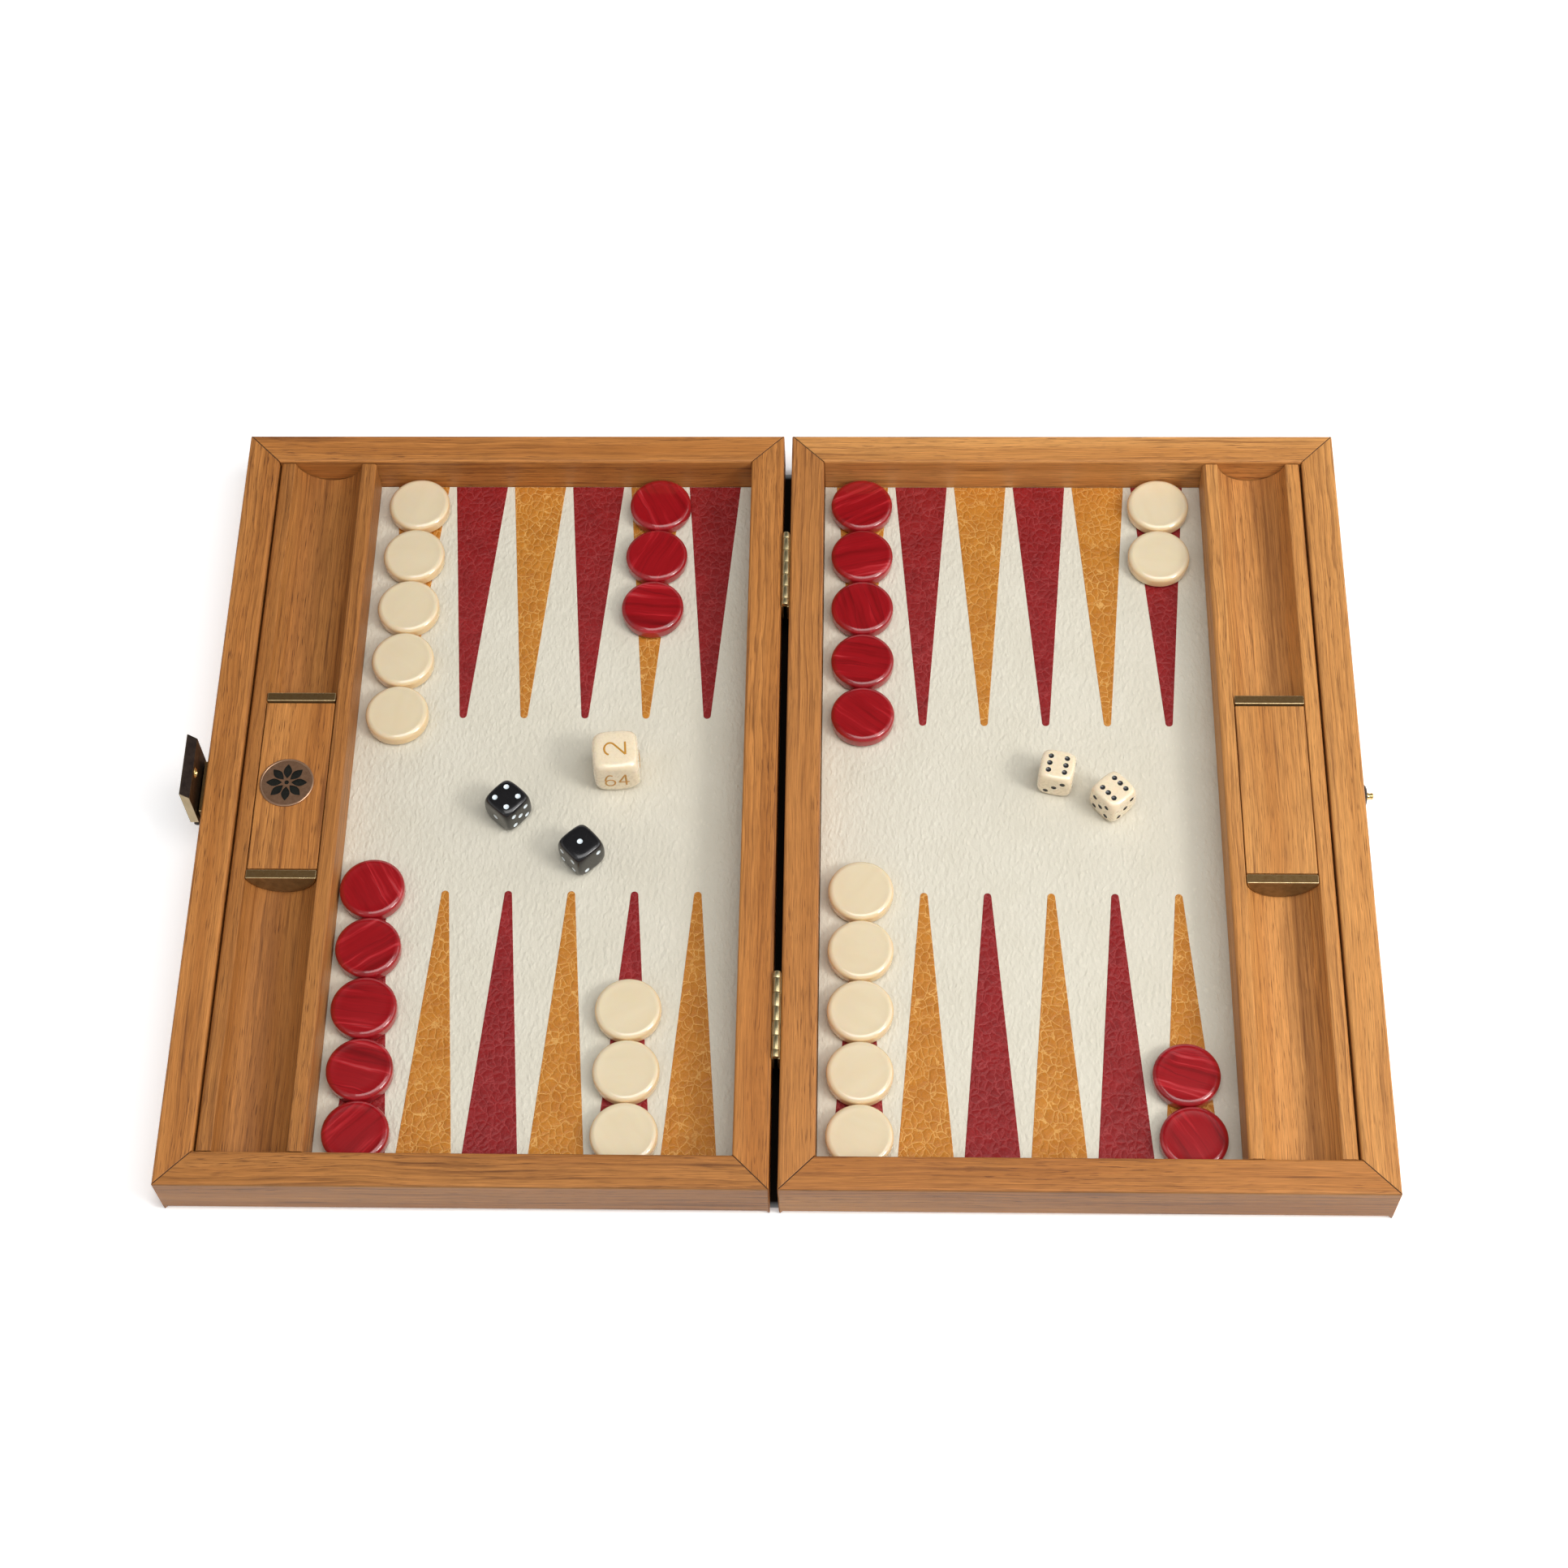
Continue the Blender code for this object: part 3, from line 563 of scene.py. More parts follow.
ANTIQUE = metal("aged_brass", (0.215, 0.125, 0.047), (0.360, 0.222, 0.095), 0.40)
RUBBED = metal("rubbed_brass", (0.46, 0.33, 0.16), (0.68, 0.52, 0.29), 0.28)
COPPER = metal("aged_copper", (0.220, 0.122, 0.072), (0.320, 0.185, 0.112), 0.55)
COPPER_EDGE = metal("rubbed_copper", (0.40, 0.235, 0.145), (0.54, 0.34, 0.22), 0.45)
PALE_BRONZE = metal("worn_bronze", (0.180, 0.110, 0.040), (0.290, 0.185, 0.075), 0.5, metallic=0.5)
PATINA = metal("dark_patina", (0.020, 0.022, 0.020), (0.050, 0.050, 0.042), 0.5)
PALE_BRASS = metal("pale_brass", (0.52, 0.42, 0.22), (0.68, 0.57, 0.33), 0.34)
GOLD_BRASS = metal("gold_brass", (0.62, 0.42, 0.15), (0.78, 0.57, 0.25), 0.22)
print("metals:", ANTIQUE.name, RUBBED.name, COPPER.name, PALE_BRASS.name, GOLD_BRASS.name)

# %% [markdown]
# Cages and modifiers
#
# Pieces start as coarse cages, drawn in millimetres, and modifiers round them off. A Bevel with
# hardened normals eases an edge and leaves the flats flat, as sandpaper does. Where a modifier
# needs a helper, or the piece was made about its own origin, the stack is applied first.


# %% Helpers for cages
def finished_name(node):
    return node + "_finished"


def mesh_from(bm, name, materials):
    """The cage as a mesh that carries these finishes. The cage itself is freed."""
    mesh = bpy.data.meshes.new(name)
    bm.to_mesh(mesh)
    bm.free()
    for one in materials:
        mesh.materials.append(one)
    return mesh


def object_from(bm, name, *materials, sharp_angle=40.0):
    """An object made from a cage in millimetres."""
    bmesh.ops.scale(bm, vec=(MM, MM, MM), verts=bm.verts)
    bmesh.ops.recalc_face_normals(bm, faces=bm.faces)
    mesh = mesh_from(bm, name, materials)
    mesh.shade_smooth()
    mesh.set_sharp_from_angle(angle=math.radians(sharp_angle))
    return put_in_scene(name, mesh)


def distances_round(outline):
    """How far round a closed outline each of its points is, with the whole length last."""
    total, found = 0.0, [0.0]
    for first, second in zip(outline, list(outline[1:]) + [outline[0]]):
        total += math.dist(first[:2], second[:2])
        found.append(total)
    return found


def prism(outline, low, high, shift=(0.0, 0.0)):
    """A closed (x, z) outline drawn out along Y, with the grain map along it and round it."""
    bm = bmesh.new()
    uv = bm.loops.layers.uv.new("grain")
    rings = [[bm.verts.new((x, y, z)) for x, z in outline] for y in (low, high)]
    around = distances_round(outline)
    count = len(outline)
    for i in range(count):
        j = (i + 1) % count
        face = bm.faces.new((rings[0][i], rings[0][j], rings[1][j], rings[1][i]))
        for loop, distance in zip(face.loops, (around[i], around[i + 1], around[i + 1], around[i])):
            loop[uv].uv = ((loop.vert.co.y + shift[0]) * MM, (distance + shift[1]) * MM)
    for ring in rings:
        for loop in bm.faces.new(ring).loops:
            x, _, z = loop.vert.co
            loop[uv].uv = ((z + shift[0]) * MM, (x + shift[1]) * MM)
    return bm


def block(first, second, shift=(0.0, 0.0)):
    """A box between two opposite corners."""
    low, high = zip(*(sorted(pair) for pair in zip(first, second)))
    outline = [(low[0], low[2]), (high[0], low[2]), (high[0], high[2]), (low[0], high[2])]
    return prism(outline, low[1], high[1], shift)


def ease(obj, width, segments=3, by_weight=False, material=-1, angle=40.0):
    """Rounds edges with a live Bevel. A material index gives the rounded faces a finish of their own."""
    bevel = obj.modifiers.new("eased_edges", "BEVEL")
    bevel.width = width * MM
    bevel.segments = segments
    bevel.limit_method = "WEIGHT" if by_weight else "ANGLE"
    bevel.angle_limit = math.radians(angle)
    bevel.harden_normals = True
    bevel.material = material
    return obj


def settle(obj):
    """Applies an object's modifiers."""
    graph = bpy.context.evaluated_depsgraph_get()
    evaluated = obj.evaluated_get(graph)
    mesh = bpy.data.meshes.new_from_object(evaluated, preserve_all_data_layers=True, depsgraph=graph)
    obj.modifiers.clear()
    rough = obj.data
    obj.data = mesh
    bpy.data.meshes.remove(rough)
    return obj


def move(obj, place, turn=Matrix()):
    """Turns a piece's mesh, then moves it, by a place in millimetres. The object stays at the origin."""
    obj.data.transform(Matrix.Translation(Vector(place) * MM) @ turn)
    return obj


def discard(obj):
    """Removes an object and its mesh."""
    mesh = obj.data
    bpy.data.objects.remove(obj)
    bpy.data.meshes.remove(mesh)


def carve(obj, tool, sharp_angle=40.0):
    """Cuts a helper out of an object. The cut faces take the helper's finish."""
    cut = obj.modifiers.new("carved", "BOOLEAN")
    cut.operation = "DIFFERENCE"
    cut.solver = "EXACT"
    cut.material_mode = "TRANSFER"
    cut.object = tool
    settle(obj)
    discard(tool)
    obj.data.set_sharp_from_angle(angle=math.radians(sharp_angle))
    flats = obj.modifiers.new("flat_faces_lead", "WEIGHTED_NORMAL")
    flats.keep_sharp = True
    flats.weight = 80
    return obj


def gather(name, parts):
    """One object holding several finished parts, which are removed."""
    bm = bmesh.new()
    materials = []
    for part in parts:
        start = len(bm.faces)
        bm.from_mesh(part.data)
        bm.faces.ensure_lookup_table()
        indices = []
        for one in part.data.materials:
            if one not in materials:
                materials.append(one)
            indices.append(materials.index(one))
        for face in bm.faces[start:]:
            face.material_index = indices[min(face.material_index, len(indices) - 1)]
        discard(part)
    return put_in_scene(name, mesh_from(bm, name, materials))


def hand_over(obj, body, nodes=()):
    """The piece rides on its body and stands for its plain nodes, which are hidden."""
    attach(obj, body)
    if nodes:
        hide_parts(*nodes)
    return obj


# %% [markdown]
# Rails
#
# Each tray has four rails, cut from one moulding and mitred at the corners. The moulding's foot is
# well rounded outside, its rims are only eased, and a rebate under its inner side holds the floor.
# The section is drawn once, and every edge that runs along the rail carries a bevel weight, so one
# Bevel gives the foot its 3.2 mm round and the rims theirs. The grain map is unrolled around the
# section, with its seam under the rail.

# %% Rails
RAIL_WIDTH = 12.0
REBATE_STEP = 4.0
REBATE_HEIGHT = 4.3
FOOT_ROUND = 3.2
RIM_ROUND = 1.0
MITRE_EASE = 0.18
RIM_HEIGHT = rim_z / MM
RAIL_SECTION = (
    (RAIL_WIDTH - REBATE_STEP, 0.0, 0.0),
    (0.0, 0.0, FOOT_ROUND),
    (0.0, RIM_HEIGHT, RIM_ROUND),
    (RAIL_WIDTH, RIM_HEIGHT, RIM_ROUND),
    (RAIL_WIDTH, REBATE_HEIGHT, 0.0),
    (RAIL_WIDTH - REBATE_STEP, REBATE_HEIGHT, 0.0),
)
RAIL_TONES = {
    "left": {"front": "brown", "back": "warm", "outer": "warm", "hinge": "warm"},
    "right": {"front": "middle", "back": "pale", "outer": "pale", "hinge": "middle"},
}


def rail_cage(length, grain_shift):
    """A mitred rail along X with its outer face at y = 0 and its middle at x = 0."""
    bm = bmesh.new()
    uv = bm.loops.layers.uv.new("grain")
    weight = bm.edges.layers.float.new("bevel_weight_edge")
    rings = []
    for end, inward in ((-length / 2, 1), (length / 2, -1)):
        rings.append([bm.verts.new((end + inward * u, u, v)) for u, v, _ in RAIL_SECTION])
    around = distances_round(RAIL_SECTION)
    count = len(RAIL_SECTION)
    for i in range(count):
        j = (i + 1) % count
        face = bm.faces.new((rings[0][i], rings[1][i], rings[1][j], rings[0][j]))
        for loop, distance in zip(face.loops, (around[i], around[i], around[i + 1], around[i + 1])):
            along = loop.vert.co.x
            loop[uv].uv = ((along + grain_shift[0]) * MM, (distance + grain_shift[1]) * MM)
    for ring in rings:
        face = bm.faces.new(ring)
        for loop in face.loops:
            loop[uv].uv = ((loop.vert.co.z + grain_shift[0]) * MM, (loop.vert.co.y + grain_shift[1]) * MM)
        for edge in face.edges:
            edge[weight] = MITRE_EASE / FOOT_ROUND
    for i, (_, _, round_size) in enumerate(RAIL_SECTION):
        edge = bm.edges.get((rings[0][i], rings[1][i]))
        edge[weight] = round_size / FOOT_ROUND
    return bm


def make_rail(side, sign, kind, seed):
    node = f"{side}_{kind}_rail"
    low, high = box_of(node)
    chance = random.Random(seed)
    shift = (chance.uniform(0, 900), chance.uniform(0, 400))
    middle = (low + high) / 2
    outer_x, inner_x = (high.x, low.x) if sign > 0 else (low.x, high.x)
    turn, x, y, length = {
        "front": (0, middle.x, low.y, high.x - low.x),
        "back": (math.pi, middle.x, high.y, high.x - low.x),
        "outer": (sign * math.pi / 2, outer_x, middle.y, high.y - low.y),
        "hinge": (-sign * math.pi / 2, inner_x, middle.y, high.y - low.y),
    }[kind]
    bm = rail_cage(length, shift)
    bm.transform(Matrix.Translation((x, y, 0)) @ Matrix.Rotation(turn, 4, "Z"))
    rail = object_from(bm, finished_name(node), VENEER[RAIL_TONES[side][kind]], VENEER["painted_front_shade"])
    for face in rail.data.polygons:
        # The front rails' outward faces take the second veneer, painted darker as shade.
        face.material_index = int(kind == "front" and face.normal.y < -0.9)
    ease(rail, FOOT_ROUND, 6, by_weight=True)
    return hand_over(rail, side + "_half", [node])


GLUE_WIDTH = 0.42
GLUE_SINK = 0.12
GLUE_START = 0.7
GLUE_STOP = 0.9


def make_glue_line(side, sign, row, column):
    """The dark line of glue that fills a mitre, a thin blade just below the rims."""
    low, high = box_of(f"{side}_{column}_rail")
    out_x = sign if column == "outer" else -sign
    out_y = 1 if row == "back" else -1
    corner = Vector((high.x if out_x > 0 else low.x, high.y if out_y > 0 else low.y, 0))
    reach = math.sqrt(2) * (RAIL_WIDTH - GLUE_STOP)
    bm = block((GLUE_START, -GLUE_WIDTH / 2, FOOT_ROUND), (reach, GLUE_WIDTH / 2, RIM_HEIGHT - GLUE_SINK))
    bm.transform(Matrix.Translation(corner) @ Matrix.Rotation(math.atan2(-out_y, -out_x), 4, "Z"))
    line = object_from(bm, f"{side}_{row}_{column}_glue_line", GLUE)
    return hand_over(line, side + "_half")


GLUE = plain_finish("dark_glue", (0.030, 0.014, 0.006), (0.075, 0.034, 0.014), 0.7)
rails = []
for side, sign in SIDES:
    for kind in RAIL_TONES[side]:
        rails.append(make_rail(side, sign, kind, len(rails) + 11))
    for row in ("back", "front"):
        for column in ("outer", "hinge"):
            make_glue_line(side, sign, row, column)
print("rails:", len(rails), "each", RAIL_WIDTH, "x", round(RIM_HEIGHT, 2), "mm")

# %% [markdown]
# Floor boards and leatherette
#
# A thin board closes each tray from below and sits in the rails' rebate. The leatherette is glued
# on top of it, edge to edge. It is one flat sheet with a little thickness, so a single face with a
# Solidify is enough, and the pebble comes from its finish. It is shaded flat, because smooth shading
# would bend the light all across so large a face.

# %% Floor boards and leatherette
SHEET_TOP = 5.60
SHEET_THICKNESS = 0.9
BOARD_TOP = 4.0
BED_HEIGHT = SHEET_TOP - SHEET_THICKNESS - 0.05
BOARD_EASE = 0.3

sheets = {}
for side, sign in SIDES:
    low, high = box_of(side + "_panel")
    left, right = low.x + REBATE_STEP, high.x - REBATE_STEP
    near, far = low.y + REBATE_STEP, high.y - REBATE_STEP
    outline = [(low.x, 0.0), (high.x, 0.0), (high.x, BOARD_TOP), (right, BOARD_TOP)]
    outline += [(right, BED_HEIGHT), (left, BED_HEIGHT), (left, BOARD_TOP), (low.x, BOARD_TOP)]
    bm = prism(outline, low.y, high.y, (350 * sign, 90))
    board = object_from(bm, finished_name(side + "_floor_board"), VENEER["warm"])
    bm = bmesh.new()
    corners = ((left, near), (right, near), (right, far), (left, far))
    bm.faces.new([bm.verts.new((x, y, SHEET_TOP)) for x, y in corners])
    sheet = object_from(bm, finished_name(side + "_leatherette"), CREAM)
    sheet.data.shade_flat()
    thickness = sheet.modifiers.new("thickness", "SOLIDIFY")
    thickness.thickness = SHEET_THICKNESS * MM
    thickness.offset = -1.0
    hand_over(ease(board, BOARD_EASE, 2), side + "_half")
    hand_over(sheet, side + "_half", [side + "_panel"])
    sheets[side] = (sheet, (right - left, far - near))
    print(side, "leatherette:", [round(size, 1) for size in sheets[side][1]], "mm")

# %% [markdown]
# Inlaid points
#
# The twenty-four points are long triangles of dyed hide with rounded tips, let into the leatherette.
# They stand a hair above it, so each has a fine soft edge. One outline is drawn for a point of any
# length, and the two hides alternate along each row.

# %% Points
POINT_PITCH = 22.0
FIRST_POINT = 27.7
POINT_HALF_BASE = 9.7
POINT_LENGTHS = {
    ("left", "back"): 101.6,
    ("right", "back"): 104.2,
    ("left", "front"): 103.9,
    ("right", "front"): 103.9,
}
FRONT_LEFT_SHIFT = -1.0
POINT_TIP = 1.35
POINT_TOP = 5.72
POINT_THICKNESS = 0.6
POINT_EASE = 0.22
TIP_STEPS = 8
ROW_STARTS = {"back": 0, "front": 1}


def point_outline(length):
    """Half-base at y = 0, tip towards +y, rounded where the long sides meet it."""
    slope = math.atan2(POINT_HALF_BASE - POINT_TIP, length - POINT_TIP)
    centre = length - POINT_TIP
    outline = [(-POINT_HALF_BASE, 0.0), (POINT_HALF_BASE, 0.0)]
    for i in range(TIP_STEPS + 1):
        angle = slope + (math.pi - 2 * slope) * i / TIP_STEPS
        outline.append((POINT_TIP * math.cos(angle), centre + POINT_TIP * math.sin(angle)))
    return outline


def make_point(side, row, index, x, y, toward):
    bm = bmesh.new()
    outline = point_outline(POINT_LENGTHS[side, row])
    top = bm.faces.new([bm.verts.new((across, along, POINT_TOP)) for across, along in outline])
    lower = bmesh.ops.extrude_face_region(bm, geom=[top])["geom"]
    verts = [item for item in lower if isinstance(item, bmesh.types.BMVert)]
    bmesh.ops.translate(bm, vec=(0, 0, -POINT_THICKNESS), verts=verts)
    turn = 0.0 if toward > 0 else math.pi
    bm.transform(Matrix.Translation((x, y, 0)) @ Matrix.Rotation(turn, 4, "Z"))
    mustard = (index + ROW_STARTS[row]) % 2 == 0
    name = finished_name(f"{side}_{row}_point_{index + 1}")
    point = object_from(bm, name, MUSTARD if mustard else BURGUNDY)
    return hand_over(ease(point, POINT_EASE, 3), side + "_half")


points = {"left": [], "right": []}
for side, sign in SIDES:
    low, high = box_of(side + "_panel")
    inner_y = high.y - REBATE_STEP
    columns = [sign * (FIRST_POINT + POINT_PITCH * i) for i in range(6)]
    for row, y, toward in (("back", inner_y, -1), ("front", -inner_y, 1)):
        for index, x in enumerate(sorted(columns)):
            shift = FRONT_LEFT_SHIFT if (side, row) == ("left", "front") else 0.0
            points[side].append(make_point(side, row, index, x + shift, y, toward))
    sheet, (width, length) = sheets[side]
print("points:", {side: len(found) for side, found in points.items()})

# %% [markdown]
# Racks
#
# Along each outer side runs a rack, a stick of wood ploughed with one shallow round channel for the
# checkers. Half-way along, a well for the dice is cut down into it, with a ledge around it for the
# lid. The section is drawn with the channel's arc in it, its long edges are eased, and two plain
# blocks then cut the ledge and the well, as a chisel would.

# %% Racks
CHANNEL_HALF = 12.5
CHANNEL_DEPTH = 10.3
CHANNEL_STEPS = 28
CHANNEL_RADIUS = (CHANNEL_HALF**2 + CHANNEL_DEPTH**2) / (2 * CHANNEL_DEPTH)
CHANNEL_X = 171.5
LID_GAP = 0.35
LEDGE_DROP = 3.6
WELL_FLOOR = 7.0
WELL_HALF = (9.6, 31.0)
CUTTER_RISE = 5.0
WALL_ROUND = 1.3
LIP_ROUND = 0.35


def channel_arc(sign, rack_top, radius, top):
    """A channel's curve, from its left lip down and up to its right one, as far up as this top."""
    centre_x, centre_z = sign * CHANNEL_X, rack_top - CHANNEL_DEPTH + CHANNEL_RADIUS
    spread = math.acos((centre_z - top) / radius)
    found = []
    for i in range(CHANNEL_STEPS + 1):
        angle = -math.pi / 2 - spread + 2 * spread * i / CHANNEL_STEPS
        found.append((centre_x + radius * math.cos(angle), centre_z + radius * math.sin(angle)))
    return found


def weigh_long_edges(bm, sizes, most):
    """Bevel weights for edges that run along Y, by the (x, z) corner that they pass through."""
    weight = bm.edges.layers.float.new("bevel_weight_edge")
    for edge in bm.edges:
        first, second = (vert.co for vert in edge.verts)
        if abs(first.y - second.y) < 1.0:
            continue
        for (x, z), size in sizes.items():
            if math.dist((first.x, first.z), (x, z)) < 1e-3:
                edge[weight] = size / most


def make_rack(side, sign, seed):
    node = side + "_rack"
    low, high = box_of(node)
    top = high.z
    shift = (random.Random(seed).uniform(0, 900), 0.0)
    channel = channel_arc(sign, top, CHANNEL_RADIUS, top)
    outline = [(high.x, low.z), (low.x, low.z), (low.x, top)] + channel + [(high.x, top)]
    bm = prism(outline, low.y, high.y, shift)
    lips = {channel[0]: LIP_ROUND, channel[-1]: LIP_ROUND}
    weigh_long_edges(bm, {(low.x, top): WALL_ROUND, (high.x, top): WALL_ROUND, **lips}, WALL_ROUND)
    # This veneer carries a darker streak down the channel's right side: heartwood and painted shade.
    tone = HEARTWOOD_AND_SHADE[side]
    rack = object_from(bm, finished_name(node), tone, sharp_angle=30)
    settle(ease(rack, WALL_ROUND, 4, by_weight=True))
    lid_low, lid_high = box_of(side + "_rack_lid")
    ledge = (lid_low.x - LID_GAP, lid_low.y - LID_GAP, top - LEDGE_DROP)
    ledge_far = (lid_high.x + LID_GAP, lid_high.y + LID_GAP, top + CUTTER_RISE)
    carve(rack, object_from(block(ledge, ledge_far, shift), "ledge_cutter", tone))
    middle = (lid_low.x + lid_high.x) / 2
    well = (middle - WELL_HALF[0], -WELL_HALF[1], WELL_FLOOR)
    well_far = (middle + WELL_HALF[0], WELL_HALF[1], top + CUTTER_RISE)
    carve(rack, object_from(block(well, well_far, shift), "well_cutter", tone))
    print(node, "channel radius", round(CHANNEL_RADIUS, 2), "mm,", len(rack.data.polygons), "faces")
    hand_over(rack, side + "_half", [node])


for side, sign in SIDES:
    make_rack(side, sign, 40 + sign)

# %% [markdown]
# Lids and end plates
#
# A lid closes each well, flush with the rack, with a thin dark gap all round. At both its ends a
# half-moon of antique brass fills the channel, so that the checkers can't slide over the lid. The
# plates' edges are rubbed bright: the Bevel gives its own faces the second material.

# %% Lids and end plates
LID_EASE = 0.35
PLATE_EASE = 0.4
PLATE_GAP = 0.3

for side, sign in SIDES:
    node = side + "_rack_lid"
    low, high = box_of(node)
    bm = block(low, high, (130 + 300 * sign, 45))
    lid = object_from(bm, finished_name(node), VENEER["pale" if sign > 0 else "warm"])
    hand_over(ease(lid, LID_EASE, 3), node, [node])
    rack_top = box_of(side + "_rack")[1].z
    for end in ("back", "front"):
        node = f"{side}_{end}_plate"
        low, high = box_of(node)
        bm = prism(channel_arc(sign, rack_top, CHANNEL_RADIUS - PLATE_GAP, high.z), low.y, high.y)
        plate = object_from(bm, finished_name(node), ANTIQUE, RUBBED, PALE_BRONZE)
        for face in plate.data.polygons:
            if abs(face.normal.y) > 0.9:
                face.material_index = 2
        ease(plate, PLATE_EASE, 3, material=1, angle=50)
        hand_over(plate, side + "_half", [node])
print("lids and plates: 2 and 4, plates", round(high.y - low.y, 2), "mm thick")

# %% [markdown]
# Medallion
#
# A coin of antique copper is let into the left lid. Its edge is a raised rim, turned from a profile
# by a Screw, and a simple eight-petalled rosette is sunk into its face. The petals are lens-shaped
# prisms, cut out together, and the dark patina stays behind in the cuts.

# %% Medallion
MEDALLION_RADIUS = 9.5
MEDALLION_HEIGHT = 0.62
FACE_SINK = 0.12
PETALS = 8
PETAL_DEPTH = 0.3
PETAL_INNER, PETAL_OUTER, PETAL_HALF = 1.6, 7.3, 1.5
EYE_SIZE = 0.8
MEDALLION_OFFSET = Vector((-1.7, 0.5, -0.02))


def turned(name, profile, steps, *materials, sharp_angle=40.0):
    """A piece turned about Z from a profile of (radius, height), running from top to bottom."""
    bm = bmesh.new()
    verts = [bm.verts.new((radius * MM, 0, height * MM)) for radius, height in profile]
    for first, second in zip(verts, verts[1:]):
        bm.edges.new((first, second))
    obj = put_in_scene(name, mesh_from(bm, name, materials))
    screw = obj.modifiers.new("turned", "SCREW")
    screw.axis = "Z"
    screw.steps = screw.render_steps = steps
    screw.use_merge_vertices = True
    screw.merge_threshold = 1e-6
    screw.use_smooth_shade = True
    settle(obj)
    welded = bmesh.new()
    welded.from_mesh(obj.data)
    bmesh.ops.remove_doubles(welded, verts=welded.verts, dist=2e-6)
    welded.to_mesh(obj.data)
    welded.free()
    obj.data.set_sharp_from_angle(angle=math.radians(sharp_angle))
    return obj


def add_plug(bm, shape, low, high):
    """A flat shape of vectors drawn up from one height to another."""
    rings = [[bm.verts.new((p.x, p.y, z)) for p in shape] for z in (low, high)]
    bm.faces.new(rings[0])
    bm.faces.new(rings[1])
    for i in range(len(shape)):
        j = (i + 1) % len(shape)
        bm.faces.new((rings[0][i], rings[0][j], rings[1][j], rings[1][i]))


def petal_cutter(low, high):
    """Eight lens-shaped prisms round the centre, and a small round one in the middle."""
    bm = bmesh.new()
    length = PETAL_OUTER - PETAL_INNER
    half = [(PETAL_INNER + length * i / 8, PETAL_HALF * math.sin(math.pi * i / 8)) for i in range(9)]
    lens = half + [(x, -y) for x, y in reversed(half[1:-1])]
    for number in range(PETALS):
        turn = Matrix.Rotation(2 * math.pi * number / PETALS, 4, "Z")
        add_plug(bm, [turn @ Vector((x, y, 0)) for x, y in lens], low, high)
    angles = [2 * math.pi * i / 16 for i in range(16)]
    add_plug(bm, [Vector((EYE_SIZE * math.cos(a), EYE_SIZE * math.sin(a), 0)) for a in angles], low, high)
    return object_from(bm, "petal_cutter", PATINA)


edge, height = MEDALLION_RADIUS, MEDALLION_HEIGHT
face_height = height - FACE_SINK
profile = [(0, face_height), (edge - 0.70, face_height), (edge - 0.55, height), (edge - 0.25, height)]
profile += [(edge, height - 0.2), (edge, 0), (0, 0)]
coin = turned(finished_name("medallion"), profile, 72, COPPER, COPPER_EDGE, sharp_angle=30)
for face in coin.data.polygons:
    spread = math.hypot(face.center.x, face.center.y) / MM
    if spread > edge - 0.72 and face.normal.z > 0.2:
        face.material_index = 1
carve(coin, petal_cutter(face_height - PETAL_DEPTH, height + 1), sharp_angle=30)
lid_low, lid_high = box_of("left_rack_lid")
move(coin, Vector(((lid_low.x + lid_high.x) / 2, 0, lid_high.z)) + MEDALLION_OFFSET)
hand_over(coin, "left_rack_lid")
print("medallion:", 2 * MEDALLION_RADIUS, "mm across,", len(coin.data.polygons), "faces")

# %% [markdown]
# Hinges
#
# Two strip hinges of pale brass join the trays. Each has seven knuckles about one pin, four on the
# left leaf and three on the right one, and a small domed head closes the pin at each end. The
# knuckles are turned, laid down along Y and gathered with their leaf into one piece.

# %% Hinges
KNUCKLE_RADIUS = 1.25
KNUCKLE_EASE = 0.18
KNUCKLE_GAP = 0.12
KNUCKLE_SHARES = (0.5, 1, 1, 1, 1, 1, 0.5)
LEAF_THICKNESS = 0.75
LEAF_DROP = 0.8
LEAF_EASE = 0.15
KNUCKLE_WEB = (0.35, 1.2, 0.55)
PIN_HEAD = ((0, 0.16), (0.4, 0.12), (0.62, 0.0), (0, 0.0))
# These lay down a piece that was turned about Z, with its top towards +X or +Y.
ALONG_X = Matrix.Rotation(math.pi / 2, 4, "Y")
ALONG_Y = Matrix.Rotation(-math.pi / 2, 4, "X")


def barrel(name, low, high, radius, material, eased=KNUCKLE_EASE, place=(0, 0, 0)):
    """A short turned barrel lying along Y."""
    nearly = 0.3 * eased
    profile = [(0, high), (radius - eased, high), (radius - nearly, high - nearly), (radius, high - eased)]
    profile += [(radius, low + eased), (radius - nearly, low + nearly), (radius - eased, low), (0, low)]
    return move(turned(name, profile, 28, material), place, ALONG_Y)


